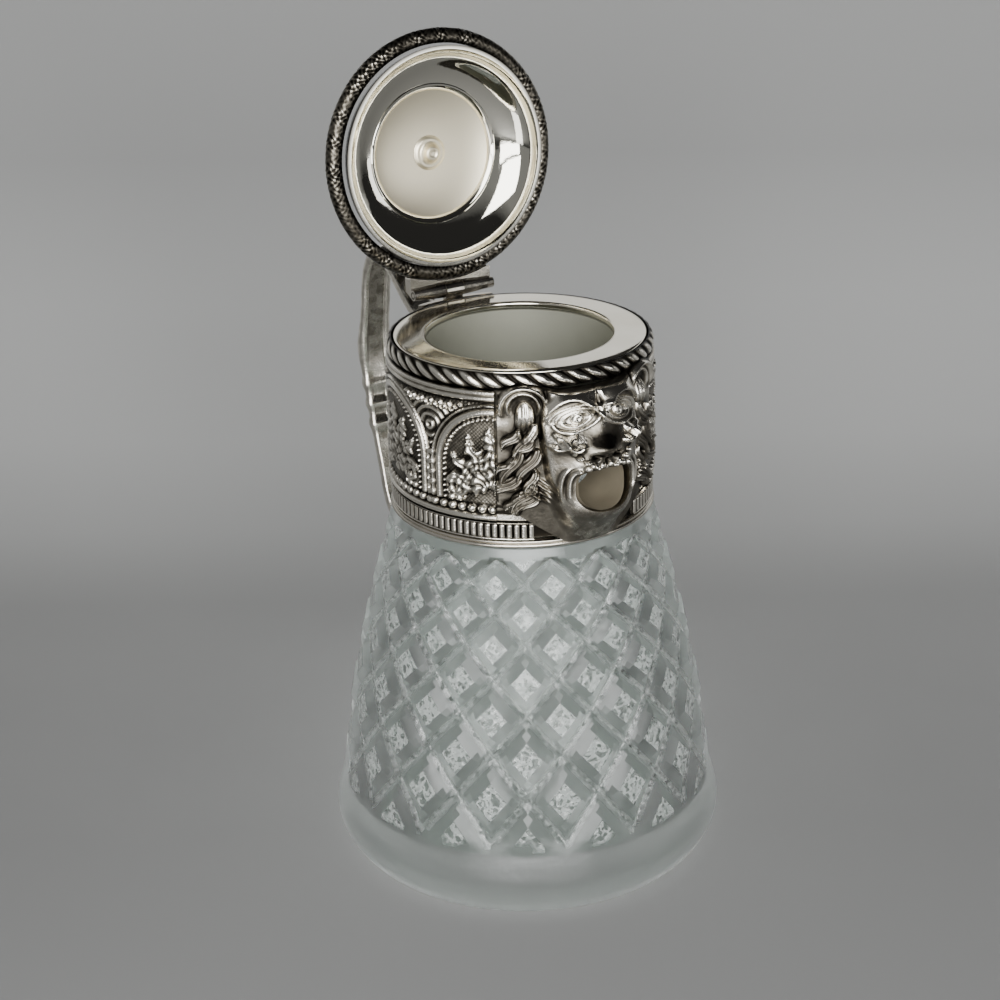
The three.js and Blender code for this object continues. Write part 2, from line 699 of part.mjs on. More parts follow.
// The mask fitted to the sleeve and the bead ring, with the mouth open through it.
function lionSpout() {
    const seat = spoutBar(THROAT_WALL + GAP, SLEEVE_BORE / 2, SLEEVE_RADIUS + THROAT_SEAT + GAP);
    const face = maskBlock(0, MASK_COLUMNS, MASK_ROWS, (x, z) => MASK_BACK + maskRelief(x, z));
    return geometryOf(face
        .subtract(collarRoom())
        .subtract(spoutBar(0, SLEEVE_BORE, SLEEVE_RADIUS * 2))
        .subtract(seat));
}

// A raised rib on the sleeve. Each stop of its route gives a place along the collar, a height and the
// rib's width there.
function rib(stops) {
    const surface = new Surface();
    const outer = SLEEVE_RADIUS + ARCH_RELIEF;
    const inner = SLEEVE_RADIUS - ARCH_RELIEF / 2;
    const rings = stops.map(([x, z, width], i) => {
        const [fromX, fromZ] = stops[Math.max(i - 1, 0)];
        const [toX, toZ] = stops[Math.min(i + 1, stops.length - 1)];
        const along = new THREE.Vector2(toX - fromX, toZ - fromZ).setLength(width / 2);
        const corner = (side, radius) => surface.polar(
            radius, FRONT + (x + side * along.y) / SLEEVE_RADIUS, z - side * along.x);
        return [corner(-1, inner), corner(1, inner), corner(1, outer), corner(-1, outer)];
    });
    for (let i = 0; i < rings.length - 1; i += 1) {
        rings[i].forEach((id, side) => {
            const next = (side + 1) % 4;
            surface.quad(id, rings[i][next], rings[i + 1][next], rings[i + 1][side]);
        });
    }
    surface.quad(...[...rings[0]].reverse());
    surface.quad(...rings[rings.length - 1]);
    return solid(surface.geometry());
}

// One bay of the frieze: a round arch on two straight legs, with a fan of three leaves under it.
function friezeBay(degrees) {
    const middle = THREE.MathUtils.degToRad(degrees) * SLEEVE_RADIUS;
    const spring = COLLAR_TOP - ARCH_SPRING_DROP;
    const foot = REED_TOP + GAP + FILLET_HEIGHT / 2;
    const crown = new THREE.EllipseCurve(
        middle, spring, ARCH_HALF_SPAN, ARCH_SPRING_DROP - ARCH_CROWN_DROP, 0, HALF_TURN);
    const arch = [
        [middle + ARCH_HALF_SPAN, foot], ...along(crown, 6), [middle - ARCH_HALF_SPAN, foot],
    ].map(([x, z]) => [x, z, ARCH_RIB]);
    const leaves = [-1, 0, 1].map((place) => {
        const lean = THREE.MathUtils.degToRad(place * LEAF_SPREAD);
        const root = (spring + foot) / 2;
        return [[0.1, 0.3], [0.5, 1], [1, 0.1]].map(([share, swell]) => [
            middle + Math.sin(lean) * LEAF_LENGTH * share,
            root + Math.cos(lean) * LEAF_LENGTH * share,
            LEAF_WIDTH * swell,
        ]);
    });
    return [arch, ...leaves].reduce((sum, stops) => (sum ? sum.add(rib(stops)) : rib(stops)), null);
}

// The sleeve with its arcade, which leaves the mask's place and the handle's seat plain.
function collarSleeve(window) {
    const hole = spoutBar(THROAT_WALL + GAP, SLEEVE_BORE / 2, SLEEVE_RADIUS * 1.3);
    const seatWidth = HANDLE_WIDTH + 2 * HANDLE_ROOT_SWELL + 6 * GAP;
    const seat = new THREE.BoxGeometry(seatWidth, SLEEVE_RADIUS, COLLAR_HEIGHT);
    const handleSeat = solid(seat.translate(0, SLEEVE_RADIUS, COLLAR_TOP - COLLAR_HEIGHT / 2));
    let arcade = friezeBay(ARCH_FIRST).add(friezeBay(-ARCH_FIRST));
    for (let bay = 1; bay < ARCH_BAYS; bay += 1) {
        const degrees = ARCH_FIRST + bay * ARCH_PITCH;
        arcade = arcade.add(friezeBay(degrees)).add(friezeBay(-degrees));
    }
    return geometryOf(sleeveBody().add(arcade.subtract(window).subtract(handleSeat)).subtract(hole));
}

function pouringLiner() {
    const tube = turned([
        [MOUTH_RADIUS, NECK_TOP + GAP], [LINER_RADIUS, NECK_TOP + GAP],
        [LINER_RADIUS, SLEEVE_TOP], [MOUTH_RADIUS, SLEEVE_TOP],
    ], COLLAR_SIDES);
    return geometryOf(solid(tube).subtract(spoutBar(THROAT_WALL + GAP, MOUTH_RADIUS / 2, SLEEVE_RADIUS)));
}

// Passage from the liner to the lion's mouth, cut to the liner's bore.
function spoutThroat() {
    const outer = SLEEVE_RADIUS + THROAT_SEAT;
    const tube = spoutBar(THROAT_WALL, MOUTH_RADIUS / 2, outer).subtract(spoutBar(0, GAP, outer + GAP));
    return geometryOf(tube.subtract(solid(cylinder(MOUTH_RADIUS, NECK_TOP, COLLAR_TOP, COLLAR_SIDES))));
}

// Flat polished ring round the mouth, with a rounded outer edge.
function collarRim() {
    const round = RIM_THICKNESS / 2;
    const edge = new THREE.EllipseCurve(
        RIM_RADIUS - round, RIM_BOTTOM + round, round, round, -HALF_TURN / 2, HALF_TURN / 2);
    return geometryOf(solid(turned(
        [[MOUTH_RADIUS, RIM_BOTTOM], ...along(edge, EDGE_STEPS), [MOUTH_RADIUS, COLLAR_TOP]], COLLAR_SIDES)));
}

// A ring whose outer face has a count of ribs. Each row of the face gives its height, its radius, the
// depth of the hollow between ribs and how far the ribs have moved round.
function ribbedRing(count, bore, rows) {
    const surface = new Surface();
    const sides = 2 * count;
    const step = FULL_TURN / sides;
    const inside = (z) => surface.ring(sides, () => bore, z, 0);
    const rings = [inside(rows[0].z)];
    rows.forEach(({ z, radius, hollow, shift }) => {
        const ring = [];
        for (let i = 0; i < sides; i += 1) {
            const angle = step * (i + shift);
            ring.push({ angle: step * i, id: surface.polar(radius - (i % 2) * hollow, angle, z) });
        }
        rings.push(ring);
    });
    rings.push(inside(rows[rows.length - 1].z));
    rings.forEach((ring, i) => surface.bridge(ring, rings[(i + 1) % rings.length]));
    return solid(surface.geometry());
}

function gadroonBorder(window) {
    const rows = [[0, 0.55, 0.3], [0.45, 1, 1], [1, 0.35, 0.3]].map(([share, swell, cut]) => ({
        z: GADROON_BOTTOM + share * GADROON_HEIGHT,
        radius: BORDER_BORE + BORDER_DEPTH * swell,
        hollow: GADROON_DEPTH * cut,
        shift: GADROON_SLANT * share,
    }));
    return geometryOf(ribbedRing(GADROON_COUNT, BORDER_BORE, rows).subtract(window));
}

function reededBorder(window) {
    const rows = [0, 1].map((share) => ({
        z: SLEEVE_BOTTOM + share * REED_HEIGHT,
        radius: BORDER_BORE + BORDER_DEPTH,
        hollow: REED_DEPTH,
        shift: 0,
    }));
    return geometryOf(ribbedRing(REED_COUNT, BORDER_BORE, rows).subtract(window));
}

function footBead() {
    const round = BEAD_HEIGHT / 2;
    const edge = new THREE.EllipseCurve(
        BEAD_RADIUS - round, COLLAR_BOTTOM + round, round, round, -HALF_TURN / 2, HALF_TURN / 2);
    const top = COLLAR_BOTTOM + BEAD_HEIGHT;
    return geometryOf(solid(turned(
        [[SLEEVE_BORE, COLLAR_BOTTOM], ...along(edge, EDGE_STEPS), [SLEEVE_BORE, top]], COLLAR_SIDES)));
}

// Fixed half of the hinge: a curved plate on the back of the gadroon border, with a post that carries
// the middle knuckle. Made about the hinge axis.
function hingeSeat() {
    const near = BORDER_BORE + BORDER_DEPTH + GAP;
    const far = near + SEAT_PLATE;
    const spread = THREE.MathUtils.degToRad(SEAT_SPREAD);
    const plate = new THREE.Shape();
    plate.absarc(0, 0, far, HALF_TURN / 2 - spread, HALF_TURN / 2 + spread, false);
    plate.absarc(0, 0, near, HALF_TURN / 2 + spread, HALF_TURN / 2 - spread, true);
    const plateHeight = GADROON_HEIGHT - 1.5 * SEAT_MARGIN;
    const curved = new THREE.ExtrudeGeometry(plate, {
        depth: plateHeight, bevelEnabled: false, curveSegments: 10,
    });
    curved.translate(0, -HINGE_SETBACK, GADROON_BOTTOM + SEAT_MARGIN - HINGE_LEVEL);
    const front = near - HINGE_SETBACK;
    const back = far - HINGE_SETBACK;
    const postFoot = GADROON_BOTTOM + plateHeight / 2 - HINGE_LEVEL;
    const post = slab(
        [[front, postFoot], [back, postFoot], [back + SEAT_MARGIN, 0], [front, 0]], KNUCKLE_LENGTH);
    const half = KNUCKLE_LENGTH / 2;
    const body = solid(bar(KNUCKLE_RADIUS, KNUCKLE_RADIUS, -half, half))
        .add(solid(post))
        .add(solid(curved))
        .subtract(solid(bar(PIN_RADIUS + GAP, PIN_RADIUS + GAP, -half - GAP, half + GAP)));
    return geometryOf(body);
}

// The lid, from here on, is made closed: its own axis is Z and its seat is at height 0.

// Centre of the round of the bead at the lid's edge: [radius, height].
const LID_BEAD = [LID_RADIUS - LID_BEAD_RADIUS, LID_BEAD_LIFT + LID_BEAD_RADIUS];

// One face of the dome from its lip to the edge of the cup and on to the stud's hole.
function domeCurve(lip, foot, lift) {
    const bowl = new THREE.CubicBezierCurve(
        new THREE.Vector2(lip, foot),
        new THREE.Vector2(lip - LID_SHEET / 2, lift + BOWL_DEPTH * 0.55),
        new THREE.Vector2(lip * 0.85, lift + BOWL_DEPTH * 0.9),
        new THREE.Vector2(CUP_RADIUS + CUP_STEP, lift + BOWL_DEPTH),
    );
    const cup = new THREE.QuadraticBezierCurve(
        new THREE.Vector2(CUP_RADIUS - CUP_STEP / 2, lift + BOWL_DEPTH + CUP_STEP),
        new THREE.Vector2(CUP_RADIUS * 0.6, lift + BOWL_DEPTH + CUP_DEPTH),
        new THREE.Vector2(RIVET_RADIUS * 1.6, lift + BOWL_DEPTH + CUP_DEPTH),
    );
    return [
        ...along(bowl, 3), ...along(cup, 2),
        [STUD_RADIUS + GAP, lift + BOWL_DEPTH + CUP_DEPTH],
    ];
}

function lidDome() {
    const outer = domeCurve(LID_LIP_RADIUS, 0, LID_SHEET);
    const inner = domeCurve(LID_LIP_RADIUS - LID_SHEET, 0, 0);
    return geometryOf(solid(turned([...outer, ...inner.reverse()], COLLAR_SIDES)));
}

// The bead round the lid's edge, cut into small lobes, with a flat inner wall against the dome.
function lidBorder() {
    const [centre, middle] = LID_BEAD;
    const bore = LID_LIP_RADIUS + GAP;
    const rows = [];
    const steps = 4;
    for (let step = 0; step <= steps; step += 1) {
        const angle = -HALF_TURN / 2 + (HALF_TURN * step) / steps;
        const cut = step === 0 || step === steps ? 0 : LID_LOBE_DEPTH;
        rows.push({
            z: middle + LID_BEAD_RADIUS * Math.sin(angle),
            radius: centre + LID_BEAD_RADIUS * Math.cos(angle),
            hollow: cut,
            shift: 0,
        });
    }
    return geometryOf(ribbedRing(LID_BEAD_LOBES, bore, rows));
}

// Moving half of the hinge, made about the hinge axis with the lid closed: a saddle fitted to the back
// of the bead, and two knuckles that taper outwards.
function lidHinge() {
    const [centre, middle] = LID_BEAD;
    const bottom = LID_SEAT + LID_BEAD_LIFT + SADDLE_FOOT;
    const top = LID_SEAT + middle + LID_BEAD_RADIUS * 0.7;
    const saddle = slab([
        [centre - HINGE_SETBACK, bottom], [SADDLE_BACK / 2, bottom], [SADDLE_BACK, SADDLE_BACK],
        [-SADDLE_BACK / 2, top], [centre - HINGE_SETBACK, top],
    ], HINGE_LENGTH);
    const room = new THREE.TorusGeometry(centre, LID_BEAD_RADIUS + GAP, 12, 72);
    const hollow = cylinder(centre, -middle, middle, 48);
    const place = [0, -HINGE_SETBACK, LID_SEAT + middle];
    const inner = KNUCKLE_LENGTH / 2 + GAP;
    const half = HINGE_LENGTH / 2;
    const notch = KNUCKLE_RADIUS + GAP;
    const knuckles = [-1, 1].map((side) => {
        const taper = side > 0 ? [KNUCKLE_RADIUS, KNUCKLE_END_RADIUS] : [KNUCKLE_END_RADIUS, KNUCKLE_RADIUS];
        return solid(bar(...taper, Math.min(side * inner, side * half), Math.max(side * inner, side * half)));
    });
    const body = solid(saddle)
        .subtract(solid(room.translate(...place)))
        .subtract(solid(hollow.translate(...place)))
        .subtract(solid(bar(notch, notch, -inner, inner)))
        .add(knuckles[0])
        .add(knuckles[1])
        .subtract(solid(bar(PIN_RADIUS + GAP, PIN_RADIUS + GAP, -half - GAP, half + GAP)));
    return geometryOf(body);
}

// Cast knob with its stud, which goes through the dome and the ring below it. Its outline is given in
// shares of its radius and height.
function finial() {
    const seat = BOWL_DEPTH + CUP_DEPTH + LID_SHEET + GAP;
    const stud = BOWL_DEPTH + CUP_DEPTH - STUD_REACH;
    const knob = new THREE.SplineCurve(FINIAL_SHARES.map(
        ([radius, height]) => new THREE.Vector2(FINIAL_RADIUS * radius, seat + FINIAL_HEIGHT * height)));
    return geometryOf(solid(turned([
        [0, stud], [STUD_RADIUS, stud], [STUD_RADIUS, seat], [FINIAL_RADIUS * 0.95, seat],
        ...along(knob, 7), [0, seat + FINIAL_HEIGHT],
    ], SMALL_SIDES, false)));
}

function finialRivet() {
    const top = BOWL_DEPTH + CUP_DEPTH - GAP;
    const bore = STUD_RADIUS + GAP;
    return geometryOf(solid(turned([
        [bore, top - RIVET_HEIGHT], [RIVET_RADIUS - RIVET_HEIGHT / 2, top - RIVET_HEIGHT],
        [RIVET_RADIUS, top - RIVET_HEIGHT / 2], [RIVET_RADIUS, top], [bore, top],
    ], SMALL_SIDES)));
}

// Half width and half thickness of the strap at a share of the handle's length.
function strapSize(t) {
    const taper = THREE.MathUtils.smoothstep(t, 0.36, 0.62);
    const foot = HANDLE_ROOT_SWELL * (bump(t, 0, 0.05, 1) + 0.6 * bump(t - 1, 0, 0.05, 1));
    const knots = [0.455, 0.485, 0.515].reduce((sum, place) => sum + bump(t - place, 0, 0.008, 1), 0);
    const leaf = bump(t - 0.4, 0, 0.03, 1);
    const strap = THREE.MathUtils.lerp(HANDLE_WIDTH, HANDLE_FOOT_WIDTH, taper);
    return {
        width: strap / 2 + foot + 0.5 * knots + 0.5 * leaf,
        thickness: HANDLE_THICKNESS / 2 + 0.5 * foot + 0.4 * knots + 0.6 * leaf,
        channel: HANDLE_CHANNEL * (1 - knots) * (1 - bump(t - 0.44, 0, 0.03, 1)) * Math.max(0, 1 - foot),
    };
}

// Section of the strap: [across, outwards] points with a hollow channel on the side of the fingers.
function strapSection({ width, thickness, channel }) {
    const lip = width * 0.72;
    const floor = width * 0.5;
    return [
        [-width, -thickness * 0.6], [-width * 0.92, -thickness], [-lip, -thickness],
        [-floor, channel - thickness], [floor, channel - thickness],
        [lip, -thickness], [width * 0.92, -thickness], [width, -thickness * 0.6],
        [width, thickness * 0.3], [width * 0.55, thickness],
        [-width * 0.55, thickness], [-width, thickness * 0.3],
    ];
}

// Strap handle: its section follows the middle line, and both roots are fitted to the sleeve.
function strapHandle() {
    const line = new THREE.CatmullRomCurve3(
        HANDLE_LINE.map(([out, up]) => new THREE.Vector3(0, SLEEVE_RADIUS + out, COLLAR_TOP + up)),
        false, 'centripetal');
    const surface = new Surface();
    const rings = [];
    for (let step = 0; step <= HANDLE_STEPS; step += 1) {
        const t = step / HANDLE_STEPS;
        const centre = line.getPointAt(t);
        const forward = line.getTangentAt(t);
        const section = strapSection(strapSize(t));
        rings.push(section.map(([across, out]) => surface.point(
            across, centre.y - forward.z * out, centre.z + forward.y * out)));
    }
    const count = rings[0].length;
    for (let step = 0; step < HANDLE_STEPS; step += 1) {
        for (let i = 0; i < count; i += 1) {
            const next = (i + 1) % count;
            surface.quad(rings[step][i], rings[step][next], rings[step + 1][next], rings[step + 1][i]);
        }
    }
    const middle = (point, ring, flip) => ring.forEach((id, i) => {
        const next = ring[(i + 1) % count];
        surface.face(point, flip ? id : next, flip ? next : id);
    });
    const [first, lastPoint] = [line.getPointAt(0), line.getPointAt(1)];
    middle(surface.point(first.x, first.y, first.z), rings[0], false);
    middle(surface.point(lastPoint.x, lastPoint.y, lastPoint.z), rings[HANDLE_STEPS], true);
    return geometryOf(solid(surface.geometry()).subtract(collarRoom()));
}

const creamer = new THREE.Group();
const window = maskWindow();
creamer.add(
    named('glass_body', glassBody(), GLASS),
    named('neck_cement', neckCement(), PLASTER),
    named('collar_sleeve', collarSleeve(window), SILVER),
    named('gadroon_border', gadroonBorder(window), SILVER),
    named('reeded_border', reededBorder(window), SILVER),
    named('foot_bead', footBead(), SILVER),
    named('collar_rim', collarRim(), POLISHED),
    named('pouring_liner', pouringLiner(), POLISHED),
    named('spout_throat', spoutThroat(), POLISHED),
    named('lion_spout', lionSpout(), SILVER),
    named('handle', strapHandle(), SILVER),
);

const hinge = new THREE.Group();
hinge.position.set(0, HINGE_SETBACK, HINGE_LEVEL);
const half = HINGE_LENGTH / 2;
hinge.add(
    named('hinge_seat', hingeSeat(), SILVER),
    named('hinge_pin', geometryOf(solid(bar(PIN_RADIUS, PIN_RADIUS, -half, half))), SILVER),
);
creamer.add(hinge);

const lid = new THREE.Group();
lid.rotation.x = -THREE.MathUtils.degToRad(LID_OPEN);
lid.add(named('lid_hinge', lidHinge(), SILVER));
const cover = new THREE.Group();
cover.position.set(0, -HINGE_SETBACK, LID_SEAT);
cover.add(
    named('lid_dome', lidDome(), POLISHED),
    named('lid_border', lidBorder(), SILVER),
    named('finial', finial(), SILVER),
    named('finial_rivet', finialRivet(), POLISHED),
);
lid.add(cover);
hinge.add(lid);

export default creamer;
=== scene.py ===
"""Looks of the lidded glass creamer: fine surfaces, finishes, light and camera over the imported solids.

Sizes are millimetres and degrees, in the part's own frame: +Z up, the spout towards -Y, the handle
towards +Y and the hinge along X. Meshes are written in metres.
"""

import json
import logging
from dataclasses import dataclass
from enum import Enum
from typing import Callable, Sequence

import bmesh
import bpy
import numpy as np
from mathutils import Matrix, Vector


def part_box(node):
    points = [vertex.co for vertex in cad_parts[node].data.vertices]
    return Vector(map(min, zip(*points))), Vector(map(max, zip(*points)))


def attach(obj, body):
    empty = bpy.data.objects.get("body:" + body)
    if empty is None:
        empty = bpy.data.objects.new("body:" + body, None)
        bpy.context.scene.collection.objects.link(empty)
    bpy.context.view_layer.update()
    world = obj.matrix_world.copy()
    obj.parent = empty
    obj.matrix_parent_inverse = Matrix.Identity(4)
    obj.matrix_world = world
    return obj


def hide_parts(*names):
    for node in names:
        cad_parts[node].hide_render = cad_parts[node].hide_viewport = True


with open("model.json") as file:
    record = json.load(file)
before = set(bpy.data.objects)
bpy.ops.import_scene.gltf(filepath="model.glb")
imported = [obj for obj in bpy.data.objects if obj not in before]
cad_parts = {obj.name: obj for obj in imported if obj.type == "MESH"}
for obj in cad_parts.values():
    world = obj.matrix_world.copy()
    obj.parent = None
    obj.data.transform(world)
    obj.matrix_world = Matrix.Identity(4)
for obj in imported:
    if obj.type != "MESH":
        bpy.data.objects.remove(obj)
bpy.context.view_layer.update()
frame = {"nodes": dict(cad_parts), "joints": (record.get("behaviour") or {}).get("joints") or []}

LOG = logging.getLogger("creamer")
MM = 0.001
MIRROR_SHARE = 0.4

Array = np.ndarray
Socket = bpy.types.NodeSocket
Thing = bpy.types.Object
Colour = tuple[float, float, float]
Line = Callable[[Array], Array]
Shape = Callable[[Array, Array], Array]
Knots = Sequence[tuple[float, float]]


class Body(Enum):
    """The two bodies that the hinge joins."""

    JUG = "jug"
    LID = "lid"


class Slot(Enum):
    """Material slots of the record."""

    GLASS = "clear_glass"
    ANTIQUE = "antique_silver"
    POLISHED = "polished_silver"
    PLASTER = "plaster"


class Skin(Enum):
    """Values of the relief attribute that tell the faces of the glass apart."""

    INSIDE = 0.0
    FACE = 0.5
    CUT = 0.74
    LAND = 1.0


# Shapes of curves.


def smooth(value: Array, start: float, end: float) -> Array:
    """Smooth step: 0 before start, 1 after end, and 3t^2 - 2t^3 between them."""
    t = np.clip((value - start) / (end - start), 0.0, 1.0)
    return t * t * (3.0 - 2.0 * t)


def ridge(distance: Array, width: float | Array) -> Array:
    """A rounded ridge of height 1: the bell curve of distance over width."""
    return np.exp(-((distance / width) ** 2))


def bump(across: Array, up: Array, width: float, height: float) -> Array:
    """A round bump of height 1: the bell curve of both distances over their half sizes."""
    return np.exp(-((across / width) ** 2) - (up / height) ** 2)


def bead(distance: Array, radius: float | Array) -> Array:
    """Height of half a ball of the given radius at a distance from its centre, over that radius."""
    return np.sqrt(np.clip(1.0 - (distance / radius) ** 2, 0.0, 1.0))


def wave(distance: Array, pitch: float) -> Array:
    """A cosine of the distance, 1 at every whole pitch."""
    return np.cos(2 * np.pi * distance / pitch)


def folded(distance: Array, pitch: float) -> Array:
    """Distance from the nearest of a row of marks that are a pitch apart."""
    return (distance + pitch / 2) % pitch - pitch / 2


def coil(across: Array, up: Array, pitch: float, hand: float) -> Array:
    """Ridges of a spiral from 0 to 1: a cosine of the reach over the pitch and of the turn, by its hand."""
    return 0.5 + 0.5 * np.cos(2 * np.pi * np.hypot(across, up) / pitch + hand * np.arctan2(up, across))


def bezier(points: Sequence[Sequence[float]], steps: int) -> Array:
    """The curve of a few control points, by mixing neighbours until one point is left."""
    t = np.linspace(0, 1, steps)[:, None]
    mixed = [np.array(point, float) for point in points]
    while len(mixed) > 1:
        mixed = [low * (1 - t) + high * t for low, high in zip(mixed, mixed[1:])]
    return mixed[0]


def through(value: Array, knots: Knots) -> Array:
    """A smooth curve through a few points.

    Between two knots the curve is the cubic whose slopes at the knots are the mean slopes of their
    neighbours.

    Args:
        value: where the curve is read.
        knots: rising places and the heights there.

    Returns:
        The curve's height at each value.
    """
    x, y = np.array(knots, float).T
    slope = np.gradient(y, x)
    k = np.clip(np.searchsorted(x, value) - 1, 0, len(x) - 2)
    step = x[k + 1] - x[k]
    t = np.clip((value - x[k]) / step, 0.0, 1.0)
    rise = t * t * (3.0 - 2.0 * t)
    return (
        y[k] + (y[k + 1] - y[k]) * rise
        + step * slope[k] * t * (1.0 - t) ** 2
        - step * slope[k + 1] * t * t * (1.0 - t)
    )


def blurred(height: Array, reach: int) -> Array:
    """Running mean of a height grid over 2 * reach + 1 cells both ways, by differences of running sums."""
    result = height
    for axis in (0, 1):
        pad = [(0, 0), (0, 0)]
        pad[axis] = (reach + 1, reach)
        total = np.cumsum(np.pad(result, pad, mode="edge"), axis=axis)
        width = 2 * reach + 1
        count = total.shape[axis]
        upper = np.take(total, np.arange(width, count), axis=axis)
        lower = np.take(total, np.arange(0, count - width), axis=axis)
        result = (upper - lower) / width
    return result


def hollows(height: Array, reach: int, gain: float) -> Array:
    """How open each point of a relief lies: 0.5 plus gain times its height over its surroundings' mean."""
    local = height - blurred(blurred(height, reach), reach)
    return np.clip(0.5 + gain * local, 0.0, 1.0)


def softened(profile: Knots, radius: float, steps: int = 4) -> Array:
    """A closed polygon with its corners rounded.

    Each corner is a quadratic curve between the two points that lie a radius from it along its edges,
    or a third of a shorter edge.

    Args:
        profile: the polygon's corners.
        radius: how far from the corner the round begins.
        steps: segments of one round.

    Returns:
        The points of the rounded outline, shape (corners * (steps + 1), 2).
    """
    corner = np.array(profile, float)
    to_last = np.roll(corner, 1, 0) - corner
    to_next = np.roll(corner, -1, 0) - corner
    last_length = np.linalg.norm(to_last, axis=1, keepdims=True)
    next_length = np.linalg.norm(to_next, axis=1, keepdims=True)
    start = corner + to_last / last_length * np.minimum(radius, last_length / 3)
    end = corner + to_next / next_length * np.minimum(radius, next_length / 3)
    t = np.linspace(0, 1, steps + 1)[None, :, None]
    curve = (1 - t) ** 2 * start[:, None] + 2 * t * (1 - t) * corner[:, None] + t**2 * end[:, None]
    return curve.reshape(-1, 2)


def around(radius: Array, angle: Array, z: Array) -> Array:
    """Points at a radius and an angle counted from the spout towards +X: (r sin a, -r cos a, z)."""
    radius, angle, z = np.broadcast_arrays(radius, angle, z)
    return np.stack([radius * np.sin(angle), -radius * np.cos(angle), z], -1)


# Meshes.


def sheet_faces(rows: int, columns: int) -> Array:
    """Quads of an open grid of rows by columns of points."""
    row, column = np.meshgrid(np.arange(rows - 1), np.arange(columns - 1), indexing="ij")
    first = row * columns + column
    return np.stack([first, first + 1, first + columns + 1, first + columns], -1).reshape(-1, 4)


def swept(sections: Array, closed: bool) -> tuple[Array, list[Array]]:
    """The skin of closed outlines that follow each other.

    Args:
        sections: points of shape (sections, points of one outline, 3).
        closed: True where the last outline meets the first, False where both ends are capped.

    Returns:
        The points and the groups of faces.
    """
    count, size = sections.shape[:2]
    row, column = np.meshgrid(np.arange(count if closed else count - 1), np.arange(size), indexing="ij")
    after = (row + 1) % count
    beside = (column + 1) % size
    quads = np.stack(
        [row * size + column, row * size + beside, after * size + beside, after * size + column], -1
    ).reshape(-1, 4)
    faces = [quads]
    if not closed:
        ends = np.arange(size)
        faces += [ends[None, ::-1], ends[None] + (count - 1) * size]
    return sections.reshape(-1, 3), faces


def lathed(profile: Array, sides: int) -> tuple[Array, list[Array]]:
    """A closed profile of radii and heights turned round Z.

    Args:
        profile: radius and height of each point, shape (points, 2).
        sides: outlines in the full turn.

    Returns:
        The points and the groups of faces.
    """
    angle = np.arange(sides) * 2 * np.pi / sides
    sections = around(profile[None, :, 0], angle[:, None], profile[None, :, 1])
    return swept(sections, True)


def fill_mesh(mesh: bpy.types.Mesh, points: Array, faces: Sequence[Array]) -> None:
    """Writes points in millimetres and groups of faces of equal length into an empty mesh.

    Args:
        mesh: the mesh to fill.
        points: corner points, shape (points, 3).
        faces: index arrays, one for each number of corners.
    """
    loops = np.concatenate([group.ravel() for group in faces]).astype(np.int32)
    sizes = np.concatenate([np.full(len(group), group.shape[1]) for group in faces])
    starts = np.concatenate([[0], np.cumsum(sizes)[:-1]]).astype(np.int32)
    mesh.vertices.add(len(points))
    mesh.vertices.foreach_set("co", (points * MM).astype(np.float32).ravel())
    mesh.loops.add(len(loops))
    mesh.loops.foreach_set("vertex_index", loops)
    mesh.polygons.add(len(sizes))
    mesh.polygons.foreach_set("loop_start", starts)
    mesh.update(calc_edges=True)
    mesh.validate()


@dataclass(frozen=True)
class Maker:
    """Makes one body's pieces and fastens them to it."""

    body: Body
    weld: float = 0.002
    sharp: float = 38.0

    def piece(
        self,
        name: str,
        shape: tuple[Array, Sequence[Array]],
        finish: "Finish",
        nodes: Sequence[str] = (),
        relief: Array | None = None,
        sharp: float | None = None,
    ) -> Thing:
        """Turns a surface into a finished piece of the object.

        Args:
            name: the piece's name.
            shape: points in millimetres and groups of faces.
            finish: what it is made of.
            nodes: solids of the frame that it stands for.
            relief: what the finish reads at each point: openness from 0 to 1, or a value of Skin.
            sharp: least angle between faces that shows as an edge.

        Returns:
            The piece's object.
        """
        points, faces = shape
        mesh = bpy.data.meshes.new(name)
        fill_mesh(mesh, points, faces)
        if relief is not None:
            layer = mesh.attributes.new("relief", "FLOAT", "POINT")
            layer.data.foreach_set("value", relief.astype(np.float32).ravel())
        self.close(mesh)
        mesh.polygons.foreach_set("use_smooth", np.ones(len(mesh.polygons), bool))
        mesh.set_sharp_from_angle(angle=np.radians(self.sharp if sharp is None else sharp))
        piece = put(name, mesh)
        self.fasten(piece, finish, nodes)
        return piece

    def close(self, mesh: bpy.types.Mesh) -> None:
        """Joins points that meet, at seams and poles, and turns all faces outwards."""
        work = bmesh.new()
        work.from_mesh(mesh)
        bmesh.ops.remove_doubles(work, verts=work.verts, dist=self.weld * MM)
        bmesh.ops.recalc_face_normals(work, faces=work.faces)
        work.to_mesh(mesh)
        work.free()

    def fasten(self, piece: Thing, finish: "Finish", nodes: Sequence[str]) -> None:
        """Dresses a piece and body, and hides the solids that it stands for."""
        piece.data.materials.append(finish.material())
        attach(piece, self.body.value)
        if nodes:
            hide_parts(*nodes)
        LOG.info("%s: %d faces on %s", piece.name, len(piece.data.polygons), self.body.value)


def put(name: str, data: bpy.types.ID | None) -> Thing:
    """Makes an object of some data and links it to the scene."""
    made = bpy.data.objects.new(name, data)
    bpy.context.collection.objects.link(made)
    return made


def dress_node(node: str, finish: "Finish") -> None:
    """Gives a solid of the frame that stays in view its finish."""
    slots = frame["nodes"][node].data.materials
    slots.clear()
    slots.append(finish.material())
    LOG.info("%s: dressed", node)


# Finishes.


